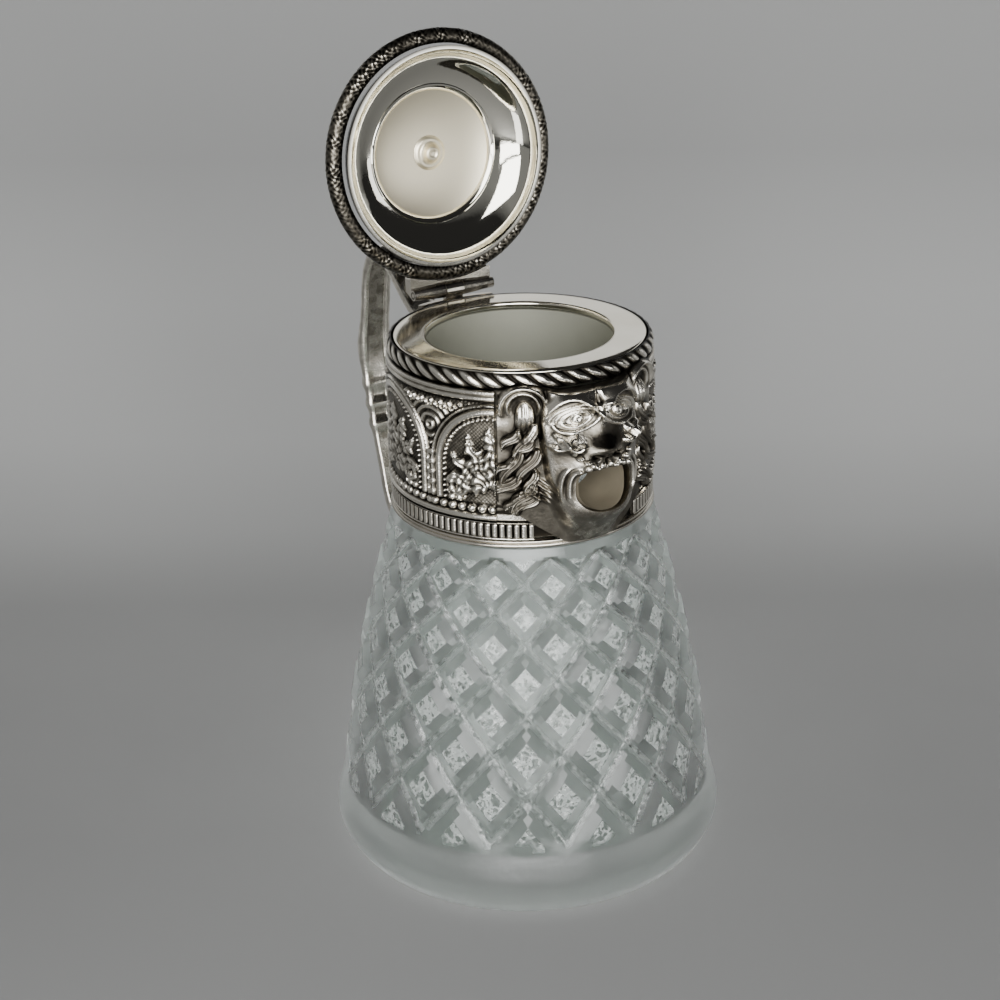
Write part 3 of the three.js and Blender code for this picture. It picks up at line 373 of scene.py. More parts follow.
class Graph:
    """A material's nodes, with short calls to add and join them."""

    def __init__(self, name: str) -> None:
        """Starts a material with its one shader.

        Args:
            name: the material's name.
        """
        self.material = bpy.data.materials.new(name)
        self.material.use_nodes = True
        self.tree = self.material.node_tree
        self.shader = self.tree.nodes["Principled BSDF"]

    def add(
        self, kind: str, values: dict[str | int, object] | None = None, **settings: object
    ) -> bpy.types.Node:
        """Adds a node.

        Args:
            kind: the node's type.
            values: constants for its sockets, by name or place.
            settings: its own properties.

        Returns:
            The node.
        """
        node = self.tree.nodes.new(kind)
        for name, value in settings.items():
            setattr(node, name, value)
        for name, value in (values or {}).items():
            node.inputs[name].default_value = value
        return node

    def join(self, source: Socket, target: Socket) -> None:
        """Links an output to an input."""
        self.tree.links.new(source, target)

    def feed(self, name: str, source: Socket) -> None:
        """Links an output to one of the shader's own sockets."""
        self.join(source, self.shader.inputs[name])

    def set(self, **values: object) -> None:
        """Sets constants on the shader's own sockets; an underscore stands for a space."""
        for name, value in values.items():
            self.shader.inputs[name.replace("_", " ")].default_value = value

    def relief(self) -> Socket:
        """The piece's relief attribute."""
        return self.add("ShaderNodeAttribute", attribute_name="relief").outputs["Fac"]

    def place(self) -> Socket:
        """Object coordinates."""
        return self.add("ShaderNodeTexCoord").outputs["Object"]

    def noise(self, scale: float, detail: float = 3.0) -> Socket:
        """A cloud of noise on Object coordinates, in cells per metre."""
        cloud = self.add("ShaderNodeTexNoise", {"Scale": scale, "Detail": detail, "Roughness": 0.55})
        self.join(self.place(), cloud.inputs["Vector"])
        return cloud.outputs["Fac"]

    def combine(self, operation: str, first: Socket, second: Socket) -> Socket:
        """Two values joined by an operation such as a sum or a product."""
        node = self.add("ShaderNodeMath", operation=operation)
        self.join(first, node.inputs[0])
        self.join(second, node.inputs[1])
        return node.outputs["Value"]

    def greys(self, source: Socket, stops: Knots) -> Socket:
        """A plain value read from another one through a few stops."""
        return self.ramp(source, [(place, (grey, grey, grey)) for place, grey in stops])

    def ramp(self, source: Socket, stops: Sequence[tuple[float, Colour]]) -> Socket:
        """A colour read from a value through a few stops."""
        node = self.add("ShaderNodeValToRGB")
        elements = node.color_ramp.elements
        while len(elements) < len(stops):
            elements.new(0.5)
        for element, (place, colour) in zip(elements, stops):
            element.position = place
            element.color = (*colour, 1.0)
        self.join(source, node.inputs["Fac"])
        return node.outputs["Color"]

    def spread(self, source: Socket, low: float, high: float) -> Socket:
        """A value from 0 to 1 mapped to a range."""
        node = self.add("ShaderNodeMapRange", {"To Min": low, "To Max": high})
        self.join(source, node.inputs["Value"])
        return node.outputs["Result"]

    def roughen(self, source: Socket, strength: float | Socket, depth: float) -> None:
        """Adds fine unevenness, a bump of the source.

        Args:
            source: the height.
            strength: its share from 0 to 1, even or varying.
            depth: its depth in metres.
        """
        node = self.add("ShaderNodeBump", {"Distance": depth})
        self.join(source, node.inputs["Height"])
        if isinstance(strength, float):
            node.inputs["Strength"].default_value = strength
        else:
            self.join(strength, node.inputs["Strength"])
        self.feed("Normal", node.outputs["Normal"])


@dataclass(frozen=True)
class Finish:
    """What a piece is made of. A material is made once and shared."""

    name: str
    slot: Slot

    def material(self) -> bpy.types.Material:
        """The finish's material, made the first time that it is asked for."""
        return bpy.data.materials.get(self.name) or self.make()

    def make(self) -> bpy.types.Material:
        """Makes the material."""
        raise NotImplementedError


@dataclass(frozen=True)
class CutGlass(Finish):
    """Clear cut glass: hazy outside, crinkled on its lands with white frost in noise bands as painted glints,
    filmed over inside.
    """

    tint: Colour = (0.71, 0.755, 0.73)
    refraction: float = 1.52
    film: float = 0.12
    facet: float = 0.3
    polish: float = 0.03
    crinkle: float = 430.0
    crinkle_depth: float = 0.0011
    crinkle_share: float = 0.9
    ripple_share: float = 0.07
    shard: float = 500.0
    shard_bands: Knots = ((0.41, 0.0), (0.45, 1.0), (0.56, 1.0), (0.60, 0.0))
    glint_frost: float = 0.33

    def make(self) -> bpy.types.Material:
        """Makes the glass: the attribute picks the haze of each face, and noise bands of white frost on the
        lands paint glints.
        """
        graph = Graph(self.name)
        graph.set(Base_Color=(*self.tint, 1.0), IOR=self.refraction)
        skin = graph.relief()
        # The stops lie between the values of Skin.
        haze = ((0.1, self.film), (0.4, self.facet), (0.6, self.facet), (0.85, self.polish))
        graph.feed("Roughness", graph.greys(skin, haze))
        # Painted highlights: noise bands on the lands turn part of the transmission into white scatter,
        # shaped like crinkled glints.
        lands = graph.greys(skin, ((0.6, 0.0), (0.9, 1.0)))
        shards = graph.greys(graph.noise(self.shard, 2.5), self.shard_bands)
        painted_glints = graph.combine("MULTIPLY", lands, shards)
        graph.feed("Transmission Weight", graph.spread(painted_glints, 1.0, 1.0 - self.glint_frost))
        uneven = graph.greys(skin, ((0.4, 0.0), (0.5, self.ripple_share), (0.9, self.crinkle_share)))
        graph.roughen(graph.noise(self.crinkle, 1.2), uneven, self.crinkle_depth)
        return graph.material


@dataclass(frozen=True)
class ChasedSilver(Finish):
    """Silver plate darkened in the hollows of its relief and rubbed bright on the ridges."""

    hollow: Colour = (0.016, 0.014, 0.011)
    middle: Colour = (0.222, 0.202, 0.165)
    bright: Colour = (0.84, 0.80, 0.71)
    stops: tuple[float, float, float] = (0.24, 0.46, 0.66)
    rough_hollow: float = 0.42
    rough_ridge: float = 0.12
    grain: float = 420.0
    grain_share: float = 0.16
    pits: float = 1900.0

    def make(self) -> bpy.types.Material:
        """Makes the silver: the relief attribute, broken up by noise, picks tarnish or polish."""
        graph = Graph(self.name)
        graph.set(Metallic=1.0)
        grain = graph.spread(graph.noise(self.grain, 5.0), -self.grain_share, self.grain_share)
        wear = graph.combine("ADD", graph.relief(), grain)
        colours = list(zip(self.stops, (self.hollow, self.middle, self.bright)))
        graph.feed("Base Color", graph.ramp(wear, colours))
        graph.feed("Roughness", graph.spread(wear, self.rough_hollow, self.rough_ridge))
        graph.roughen(graph.noise(self.pits), 0.22, 0.0003)
        return graph.material


@dataclass(frozen=True)
class PlainSilver(Finish):
    """Smooth silver plate with fine rubbing marks and a faint cloud of tarnish."""

    bright: Colour = (0.93, 0.885, 0.77)
    dull: Colour = (0.76, 0.715, 0.60)
    rough: tuple[float, float] = (0.06, 0.16)
    scratch: float = 0.05
    metal: float = 1.0
    clouds: float = 65.0
    gloss: float = 130.0
    marks: float = 900.0

    def make(self) -> bpy.types.Material:
        """Makes the silver: noise clouds vary its colour and gloss, finer noise its polish."""
        graph = Graph(self.name)
        graph.set(Metallic=self.metal)
        colours = [(0.3, self.dull), (0.62, self.bright)]
        graph.feed("Base Color", graph.ramp(graph.noise(self.clouds, 4.0), colours))
        graph.feed("Roughness", graph.spread(graph.noise(self.gloss, 5.0), *self.rough))
        graph.roughen(graph.noise(self.marks), self.scratch, 0.0002)
        return graph.material


@dataclass(frozen=True)
class CupSilver(Finish):
    """Silver plate whose attribute tells a near-black painted shadow on the wall from the bowl's mirror and
    the cup's satin.
    """

    # Painted shadow: near black, the dark line between the bead and the lip.
    painted_shadow: Colour = (0.05, 0.046, 0.04)
    mirror: Colour = (0.68, 0.66, 0.585)
    satin: Colour = (0.875, 0.80, 0.61)
    rough: tuple[float, float, float] = (0.22, 0.05, 0.36)
    marks: float = 700.0

    def make(self) -> bpy.types.Material:
        """Makes the silver: the attribute mixes colour and gloss, and fine noise marks the polish."""
        graph = Graph(self.name)
        graph.set(Metallic=1.0)
        share = graph.relief()
        stops = (0.0, MIRROR_SHARE, 1.0)
        colours = list(zip(stops, (self.painted_shadow, self.mirror, self.satin)))
        graph.feed("Base Color", graph.ramp(share, colours))
        graph.feed("Roughness", graph.greys(share, list(zip(stops, self.rough))))
        graph.roughen(graph.noise(self.marks, 4.0), 0.06, 0.0002)
        return graph.material


@dataclass(frozen=True)
class Plaster(Finish):
    """White bedding plaster with a grainy surface."""

    pale: Colour = (0.80, 0.78, 0.73)
    grey: Colour = (0.62, 0.60, 0.56)
    grain: float = 700.0

    def make(self) -> bpy.types.Material:
        """Makes the plaster: coarse grain in colour and bump."""
        graph = Graph(self.name)
        graph.set(Roughness=0.9)
        grain = graph.noise(self.grain, 5.0)
        graph.feed("Base Color", graph.ramp(grain, [(0.3, self.grey), (0.7, self.pale)]))
        graph.roughen(grain, 0.4, 0.0004)
        return graph.material


GLASS = CutGlass("clear_cut_glass", Slot.GLASS)
CHASED = ChasedSilver("chased_silver", Slot.ANTIQUE)
AGED = PlainSilver(
    "aged_silver", Slot.ANTIQUE,
    bright=(0.70, 0.66, 0.58), dull=(0.40, 0.37, 0.31), rough=(0.14, 0.30), scratch=0.12,
)
POLISHED = PlainSilver("polished_silver_plate", Slot.POLISHED)
LINER = PlainSilver(
    "dulled_liner_silver", Slot.POLISHED,
    bright=(0.335, 0.335, 0.275), dull=(0.305, 0.305, 0.25), rough=(0.55, 0.65), scratch=0.1, metal=0.4,
)
THROAT = PlainSilver(
    "tarnished_throat_silver", Slot.POLISHED,
    bright=(0.27, 0.235, 0.17), dull=(0.19, 0.163, 0.113), rough=(0.5, 0.65), scratch=0.15, metal=0.25,
)
LID_PLATE = CupSilver("lid_silver", Slot.POLISHED)
BEDDING = Plaster("bedding_plaster", Slot.PLASTER)


# Glass.


@dataclass
class GlassBody:
    """The tapering glass, with a field of diamonds between two families of spiral cuts.

    Swells are heights of the moulding and how far it lies inside its radius there. Underside has the
    distances from the foot's edge and the heights under the glass. Lines are the points of a diamond.
    """

    foot_radius: float = 42.5
    moulding_radius: float = 45.55
    cut_bottom: float = 17.2
    cut_height: float = 63.6
    cut_bottom_radius: float = 43.9
    shoulder_radius: float = 29.4
    shoulder_height: float = 83.2
    belly: float = 1.6
    columns: int = 16
    rows: int = 8
    row_ratio: float = 0.915
    cut_depth: float = 2.0
    land: float = 0.44
    fade: float = 0.2
    cut_turn: float = -30.0
    neck_radius: float = 25.0
    neck_height: float = 6.8
    wall: float = 6.2
    floor: float = 9.0
    bore: float = 21.7
    heel_radius: float = 4.0
    foot_round: float = 0.5
    cut_runout: float = 1.6
    swells: Knots = ((3.2, 1.1), (7.5, 0.0), (12.0, 0.9))
    underside: Knots = ((12.0, 1.0), (10.0, 0.1), (5.0, 0.0), (0.6, 0.0))
    lines: Sequence[float] = (-1.0, -0.95, -0.72, -0.46, -0.42, 0.0, 0.42, 0.46, 0.72, 0.95, 1.0)
    maker: Maker = Maker(Body.JUG, sharp=14.0)

    def radius(self, z: Array) -> Array:
        """Radius of the uncut glass: it shrinks from the foot to the shoulder by a power of the height."""
        start = self.cut_bottom / 2
        t = np.clip((z - start) / (self.shoulder_height - start), 0.0, 1.0)
        return self.cut_bottom_radius - (self.cut_bottom_radius - self.shoulder_radius) * t**self.belly

    def level(self, row: Array) -> Array:
        """Height of a row of crossings: each row is row_ratio times as high as the one below it."""
        q = self.row_ratio
        first = self.cut_height * (1 - q) / (1 - q**self.rows)
        return self.cut_bottom + first * (1 - q**row) / (1 - q)

    def place(self, column: Array, row: Array, depth: Array) -> Array:
        """Points of the cut field: columns count round the glass, rows up it, depth into it."""
        angle = np.radians(self.cut_turn) + column * 2 * np.pi / self.columns
        z = self.level(row)
        return around(self.radius(z) - depth, angle, z)

    def diamonds(self) -> tuple[Array, list[Array], Array]:
        """The field of diamonds.

        Each diamond spans -1 to 1 along both cuts. Its depth falls in a straight slope from the land's
        edge to the cut, by the larger of the two distances from its middle, and fades out at the first
        and the last row, where only half of a diamond is left.

        Returns:
            The points, the groups of faces, and the values of Skin at the points.
        """
        line = np.array(self.lines)
        last = len(line) - 1
        a, b = np.meshgrid(line, line, indexing="ij")
        row, column = np.meshgrid(np.arange(self.rows + 1), np.arange(self.columns), indexing="ij")
        middle_column = (column + 0.5 * (row % 2 == 1)).ravel()[:, None, None]
        middle_row = row.ravel()[:, None, None]
        columns = middle_column + (a - b) / 4
        rows = np.clip(middle_row + (a + b) / 2, 0, self.rows)
        out = np.maximum(abs(a), abs(b))
        slope = np.clip((out - self.land) / (1 - self.land), 0, 1)
        fade = smooth(rows, -self.fade, self.fade * 2) * smooth(self.rows - rows, -self.fade, self.fade * 2)
        points = self.place(columns, rows, self.cut_depth * slope * fade)
        land, cut, face = (skin.value for skin in (Skin.LAND, Skin.CUT, Skin.FACE))
        beside = smooth(out, self.land - 0.02, self.land + 0.02)
        skins = land + (face - land) * beside + (cut - face) * (out > 0.9)
        skins = np.broadcast_to(skins, points.shape[:3])
        first = (np.arange(len(points)) * line.size**2)[:, None, None]
        i, j = (grid.ravel() for grid in np.meshgrid(np.arange(last), np.arange(last), indexing="ij"))
        corner = (i * line.size + j)[:, None] + np.array([0, line.size, line.size + 1, 1])
        row = row.ravel()
        lowest, highest = first[row == 0], first[row == self.rows]
        edge = corner[i + j == last - 1]
        quads = [
            first[(row > 0) & (row < self.rows)] + corner,
            lowest + corner[i + j >= last],
            highest + corner[i + j <= last - 2],
        ]
        corners = [lowest + edge[:, [1, 2, 3]], highest + edge[:, [0, 1, 3]]]
        faces = [np.concatenate([group.reshape(-1, 4) for group in quads]),
                 np.concatenate([group.reshape(-1, 3) for group in corners])]
        return points.reshape(-1, 3), faces, skins.ravel()

    def plain(self, profile: Array, columns: Array) -> tuple[Array, Array]:
        """A turned sheet of the profile, with points at the same columns as the field's edge."""
        angle = np.radians(self.cut_turn) + columns * 2 * np.pi / self.columns
        points = around(profile[:, None, 0], angle[None], profile[:, None, 1])
        return points.reshape(-1, 3), sheet_faces(len(profile), len(columns))

    def edge_depth(self, column: Array, row: int) -> Array:
        """Depth of the field's first or last row of points, which the plain glass meets."""
        along_edge = abs((column + (0.5 if row % 2 else 0.0) + 0.5) % 1.0 - 0.5) * 2
        slope = np.clip((along_edge - self.land) / (1 - self.land), 0, 1)
        return self.cut_depth * slope * smooth(np.array(0.0), -self.fade, self.fade * 2)

    def build(self) -> Thing:
        """Builds the glass: base and moulding, diamonds, shoulder, neck, and the smooth hollow inside.

        Returns:
            The glass piece.
        """
        step = np.array(self.lines[:-1]) / 2
        columns = (np.arange(self.columns)[:, None] + step[None]).ravel()
        columns = np.append(columns, columns[0] + self.columns)
        heel_z = self.cut_bottom - self.cut_runout
        moulding_z = self.foot_round + (heel_z - self.foot_round) * np.linspace(0, 1, 24)
        knots = [
            (self.foot_round, self.foot_radius),
            *((z, self.moulding_radius - inset) for z, inset in self.swells),
            (heel_z, float(self.radius(np.array(self.cut_bottom))) + 0.1),
        ]
        base = [(0, self.underside[0][1]), *((self.foot_radius - inset, z) for inset, z in self.underside)]
        lower = np.concatenate([base, np.stack([through(moulding_z, knots), moulding_z], -1)])
        neck_top = self.shoulder_height + self.neck_height
        shoulder_z = np.linspace(self.cut_bottom + self.cut_height + 0.6, self.shoulder_height, 4)
        shoulder = np.stack([self.radius(shoulder_z), shoulder_z], -1)
        neck = [(self.neck_radius, self.shoulder_height), (self.neck_radius, neck_top),
                (self.bore, neck_top), (self.bore, self.shoulder_height + 1)]
        inner_z = np.linspace(self.shoulder_height - 6, self.floor + self.heel_radius, 26)
        inner = np.stack([self.radius(inner_z) - self.wall, inner_z], -1)
        heel = self.radius(np.array(self.floor)) - self.wall
        turn = np.linspace(0, np.pi / 2, 8)[1:, None]
        middle = np.array([heel - self.heel_radius, self.floor + self.heel_radius])
        round_heel = middle + self.heel_radius * np.concatenate([np.cos(turn), -np.sin(turn)], 1)
        upper = np.concatenate([shoulder, neck, inner, round_heel, [[0, self.floor]]])
        field_points, field_faces, field_skins = self.diamonds()
        lower_points, lower_faces = self.plain(lower, columns)
        upper_points, upper_faces = self.plain(upper, columns)
        rims = [
            self.place(columns, np.full(columns.shape, row), self.edge_depth(columns, row))
            for row in (0, self.rows)
        ]
        low_seam = np.concatenate([lower_points[-len(columns):], rims[0]])
        high_seam = np.concatenate([rims[1], upper_points[: len(columns)]])
        seam_faces = [sheet_faces(2, len(columns))]
        parts = [(field_points, field_faces), (lower_points, [lower_faces]), (upper_points, [upper_faces]),
                 (low_seam, seam_faces), (high_seam, seam_faces)]
        starts = np.cumsum([0] + [len(points) for points, _ in parts])
        points = np.concatenate([points for points, _ in parts])
        faces = [group + start for (_, groups), start in zip(parts, starts) for group in groups]
        filmed = np.repeat(np.arange(len(upper)) >= len(shoulder) + len(neck), len(columns))
        face = Skin.FACE.value
        skins = np.concatenate([
            field_skins,
            np.full(len(lower_points), face),
            np.where(filmed, Skin.INSIDE.value, face),
            np.full(len(low_seam) + len(high_seam), face),
        ])
        glass = self.maker.piece("cut_glass", (points, faces), GLASS, ["glass_body"], skins)
        glass.visible_shadow = False
        return glass


# Collar.


@dataclass
class Collar:
    """The silver collar: frieze, applied borders and rim, with levels taken from the frame."""

    mouth_radius: float = 20.7
    sleeve_radius: float = 29.0
    sleeve_bore: float = 27.2
    rebate: float = 1.0
    gap: float = 0.3
    mask_half: float = 21.0
    mask_open: float = 8.0
    first_arch: float = 42.7
    arch_pitch: float = 57.3
    arch_span: float = 12.4
    arch_spring: float = 101.5
    arch_crown: float = 114.2
    leaf_drop: float = 5.0
    petals: int = 3
    petal_pitch: float = 25.0
    petal_length: float = 14.6
    petal_half: float = 1.95
    petal_lobe: float = 1.9
    volute: tuple[float, float] = (7.6, 0.4)
    volute_radius: float = 3.4
    volute_pitch: float = 1.5
    berry_patch: tuple[float, float] = (9.2, 95.2)
    berry_reach: float = 3.4
    berry_pitch: float = 1.8
    scroll_pitch: float = 1.6
    ring_pitch: float = 2.4
    bead_pitch: float = 2.3
    bead_lift: float = 2.9
    punch_pitch: float = 0.85
    gadroons: int = 46
    gadroon_slant: float = 1.05
    reeds: int = 116
    reed_start: float = 12.9
    relief_height: float = 0.95
    maker: Maker = Maker(Body.JUG)

    def __post_init__(self) -> None:
        """Reads the levels and radii of the collar's parts from the frame."""
        self.gadroon = self.band("gadroon_border")
        self.reed = self.band("reeded_border")
        self.foot = self.band("foot_bead")
        self.rim = self.band("collar_rim")
        self.sleeve = self.band("collar_sleeve")

    @staticmethod
    def band(node: str) -> tuple[float, float, float]:
        """Largest radius, bottom and top of a round node of the frame."""
        low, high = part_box(node)
        return high.x / MM, low.z / MM, high.z / MM

    def foliage(self, side: Array, along: Array, z: Array) -> Array:
        """Relief inside an arch.

        A palmette fans out from the foot of the arch. Each petal is a rounded blade with a midrib and a
        margin that a cosine of its length lobes, and slow sines bend the whole. Beside it two volutes
        coil, and a bunch of berries fills each lower corner.

        Args:
            side: distance from the arch's middle.
            along: the same with its sign.
            z: height.

        Returns:
            Height of the relief from 0 to about 1.
        """
        foot = self.arch_spring - self.leaf_drop
        bent = along + 0.5 * np.sin(0.9 * z + 0.8 * along)
        risen = z - foot + 0.45 * np.sin(1.3 * along - 0.5 * z)
        reach = np.hypot(bent, risen)
        turn = np.arctan2(bent, risen)
        pitch = np.radians(self.petal_pitch)
        petal = np.clip(np.round(turn / pitch), -self.petals, self.petals)
        length = self.petal_length - 0.9 * np.abs(petal) ** 1.4
        share = np.clip(reach / length, 0, 1)
        lobes = wave(reach, self.petal_lobe)
        half = (self.petal_half + 0.42 * lobes) * np.sin(np.pi * share**0.8) ** 0.7 + 0.05
        across = reach * (turn - petal * pitch) / half
        blade = bead(across, 1.0) * (reach < length) * (reach > 1.0)
        blade *= 1.0 - 0.5 * ridge(across, 0.18) + 0.2 * lobes
        coil_x, coil_z = side - self.volute[0], z - foot - self.volute[1]
        volute = coil(coil_x, coil_z, self.volute_pitch, 1.0) ** 0.7
        volute *= smooth(self.volute_radius - np.hypot(coil_x, coil_z), 0.0, 0.5)
        berry_x, berry_z = side - self.berry_patch[0], z - self.berry_patch[1]
        berry = np.hypot(folded(berry_x, self.berry_pitch), folded(berry_z + 1.0, self.berry_pitch))
        berries = bead(berry, 0.85) * (np.hypot(berry_x, berry_z) < self.berry_reach)
        return np.maximum.reduce([0.95 * blade, 0.85 * volute, 1.05 * berries])

    def arches(self, side: Array, z: Array) -> tuple[Array, Array]:
        """Relief of an arch.

        The distance from the arch is that from an ellipse above its spring and from its leg below. A half
        round follows it, with a fine line outside, and inside one that a cosine of the travel notches.

        Args:
            side: distance from the arch's middle.
            z: height.

        Returns:
            Height of the relief, and the distance outside the arch.
        """
        rise = np.clip(z - self.arch_spring, 0, None)
        height = self.arch_crown - self.arch_spring
        outside = (np.hypot(side / self.arch_span, rise / height) - 1) * self.arch_span
        sweep = np.arctan2(rise / height, side / self.arch_span)
        travel = sweep * self.arch_span + np.clip(z - self.arch_spring, None, 0)
        notched = 0.55 + 0.45 * wave(travel, 1.25)
        band = 0.9 * bead(outside, 0.85)
        fine = np.maximum(0.95 * ridge(outside - 1.5, 0.3), ridge(outside + 1.5, 0.36) * notched)
        return np.maximum(band, fine), outside

    def arcade(self, angle: Array, z: Array) -> Array:
        """Relief of the frieze.

        The turn is folded into equal bays. Each bay has an arch with foliage under it, a beaded pier at
        each side, a row of small rings over a scroll in the spandrels, and a row of beads at the foot.
        Punched dots roughen the ground, as a product of two cosines.

        Args:
            angle: degrees from the spout.
            z: height.

        Returns:
            Height of the relief from 0 to about 1.
        """
        along = np.radians(folded(np.abs(angle) - self.first_arch, self.arch_pitch)) * self.sleeve_radius
        side = np.abs(along)
        half = np.radians(self.arch_pitch) * self.sleeve_radius / 2
        arch, outside = self.arches(side, z)
        pier = bead(side - half, 1.3) * (z < self.arch_spring + 2.5) * (0.7 + 0.3 * wave(z, 2.3))
        scroll = 0.75 * coil(side - half, z - self.arch_crown + 4.4, self.scroll_pitch, -1.0)
        scroll *= z < self.arch_crown - 0.2
        rings = ridge(np.hypot(folded(along, self.ring_pitch), z - self.arch_crown - 0.6) - 0.72, 0.28)
        spandrel = np.maximum(scroll, rings) * smooth(outside, 1.9, 2.4) * (z > self.arch_spring + 3)
        leaves = self.foliage(side, along, z) * smooth(-outside, 1.7, 2.2)
        dots = 0.16 + 0.12 * wave(along, self.punch_pitch) * wave(z, self.punch_pitch)
        foot_z = self.reed[2] + self.bead_lift
        beads = bead(np.hypot(folded(along, self.bead_pitch), z - foot_z), 0.95)
        keep = smooth(z, foot_z + 0.9, foot_z + 1.5)
        upper = np.maximum.reduce([arch, pier, spandrel, leaves, dots]) * keep
        return np.maximum(upper, beads)

    def mouldings(self, z: Array) -> Array:
        """Plain rolls above and below the frieze, as half rounds of their own radii, in millimetres."""
        bottom = self.reed[2] + self.gap
        top = self.gadroon[1] - self.gap
        rolls = [(bottom + 0.75, 0.75), (top - 0.62, 0.6), (top - 1.85, 0.58)]
        return np.maximum.reduce([radius * bead(z - middle, radius) for middle, radius in rolls])

    def frieze(self) -> Thing:
        """Builds the chased sleeve.

        The relief runs from one edge of the mask to the other. Under the mask the sleeve is plain and set
        back, as far as the mask's opening.

        Returns:
            The sleeve's piece.
        """
        edge = np.degrees((self.mask_half - 0.25) / self.sleeve_radius)
        inner = np.degrees(self.mask_open / self.sleeve_radius)
        hidden = np.linspace(inner, edge - 0.02, 6)
        angle = np.concatenate([hidden, np.linspace(edge, 360 - edge, 600), 360 - hidden[::-1]])
        bottom = self.reed[2] + self.gap
        top = self.gadroon[1] - self.gap
        z = np.linspace(bottom, top, 150)
        turn = np.where(angle > 180, angle - 360, angle)
        grid_angle, grid_z = np.meshgrid(turn, z, indexing="ij")
        room = smooth(top - 2.6 - grid_z, 0.0, 0.4)
        arcade = self.relief_height * self.arcade(grid_angle, grid_z) * room
        height = np.maximum(arcade, self.mouldings(grid_z))
        open_share = hollows(height, 7, 0.82)
        shown = np.abs(grid_angle) >= edge
        radius = self.sleeve_radius + np.where(shown, 0.05 + height, -self.gap)
        front = around(radius, np.radians(angle)[:, None], z[None])
        rebate = self.sleeve_radius - self.rebate
        _, low, high = self.sleeve
        ends = [(rebate, low), (rebate, bottom), (rebate, top), (rebate, high),
                (self.sleeve_bore, high), (self.sleeve_bore, low)]
        frame_radius, frame_z = np.array(ends).T
        plain = around(frame_radius[None], np.radians(angle)[:, None], frame_z[None])
        none = np.zeros((len(angle), 2))
        share = np.concatenate([none, open_share, none, none], 1)
        shape = swept(np.concatenate([plain[:, :2], front, plain[:, 2:]], 1), False)
        return self.maker.piece("chased_frieze", shape, CHASED, ["collar_sleeve"], share, sharp=80.0)

    def ring(
        self,
        name: str,
        node: str,
        start: float,
        count: int,
        radius_at: Shape,
        relief_at: Shape,
        floor_at: Line,
    ) -> Thing:
        """Builds an applied border, a ring that is open at the mask or passes above it.

        Args:
            name: the piece's name.
            node: the solid that it stands for.
            start: degrees from the spout at which it begins, 0 for a closed ring.
            count: outlines along it.
            radius_at: its outer radius from an angle in degrees and a share of its height.
            relief_at: its openness from the same.
            floor_at: lowest height that the mask leaves free at a distance from its middle.

        Returns:
            The border's piece.
        """
        _, bottom, top = self.band(node)
        closed = start == 0
        angle = np.linspace(start, 360 - start, count, endpoint=not closed)
        turn = np.where(angle > 180, angle - 360, angle)
        low = np.maximum(bottom, floor_at(np.abs(np.radians(turn)) * self.sleeve_radius))
        share = 0.5 - 0.5 * np.cos(np.linspace(0, np.pi, 22))
        grid_angle, grid_share = np.meshgrid(angle, share, indexing="ij")
        z = low[:, None] + grid_share * (top - low[:, None])
        full_share = (z - bottom) / (top - bottom)
        outer = around(radius_at(grid_angle, full_share), np.radians(grid_angle), z)
        inner_z = np.stack([np.full(count, top), low], -1)
        inner = around(np.array(self.sleeve_radius - 0.7), np.radians(angle)[:, None], inner_z)
        relief = np.concatenate([relief_at(grid_angle, full_share), np.zeros((count, 2))], 1)
        shape = swept(np.concatenate([outer, inner], 1), closed)
        return self.maker.piece(name, shape, CHASED, [node], relief, sharp=70.0)

    def gadroon_ring(self, mask: "LionMask") -> Thing:
        """Builds the border of slanting lobes: a swelling roll cut by the size of a cosine of the turn.

        Args:
            mask: the mask whose ears reach up into the border.

        Returns:
            The border's piece.
        """

        def mask_top(side: Array) -> Array:
            """Lowest free height above the mask."""
            return np.where(side < mask.half_width + self.gap, mask.crest(side) + 0.12, 0.0)

        outer = self.gadroon[0]

        def lobe(angle: Array, share: Array) -> Array:
            """Roundness of a lobe at a place on the ring."""
            turn = angle * self.gadroons / 360 + self.gadroon_slant * share
            return np.abs(np.cos(np.pi * turn)) ** 0.8

        def radius(angle: Array, share: Array) -> Array:
            """Outer radius of the roll."""
            swell = np.sin(np.pi * (0.08 + 0.86 * share)) ** 0.6
            return outer - 1.3 + 0.55 * swell + 0.75 * swell * lobe(angle, share)

        def relief(angle: Array, share: Array) -> Array:
            """Openness: dark between the lobes and at the border's edges."""
            edge = 0.45 + 0.55 * np.sin(np.pi * (0.06 + 0.9 * share))
            return np.clip(1.25 * lobe(angle, share) ** 1.3 * edge - 0.18, 0, 1)

        return self.ring("gadroon_ring", "gadroon_border", 0.0, 1080, radius, relief, mask_top)

    def reed_ring(self) -> Thing:
        """Builds the border of upright reeds: half rounds side by side, run out at top and bottom."""
        outer = self.reed[0]

        def lobe(angle: Array, share: Array) -> Array:
            """Roundness of a reed at a place on the ring."""
            runout = smooth(0.5 - np.abs(share - 0.5), 0.02, 0.14)
            return bead(((angle * self.reeds / 360) % 1.0) - 0.5, 0.5) * runout

        def radius(angle: Array, share: Array) -> Array:
            """Outer radius: the reeds, or the fillet along each edge."""
            edge = smooth(np.abs(share - 0.5), 0.40, 0.46)
            fillet = 0.62 * edge * (np.abs(share - 0.5) < 0.5)
            return outer - 0.7 + np.maximum(0.7 * lobe(angle, share), fillet)

        def relief(angle: Array, share: Array) -> Array:
            """Openness: dark between the reeds."""
            edge = smooth(np.abs(share - 0.5), 0.40, 0.46)
            return np.clip(np.maximum(1.3 * lobe(angle, share) ** 1.6 - 0.35, 0.8 * edge), 0.0, 1)

        start = np.degrees(self.reed_start / self.sleeve_radius)
        return self.ring("reed_ring", "reeded_border", start, 1400, radius, relief, np.zeros_like)

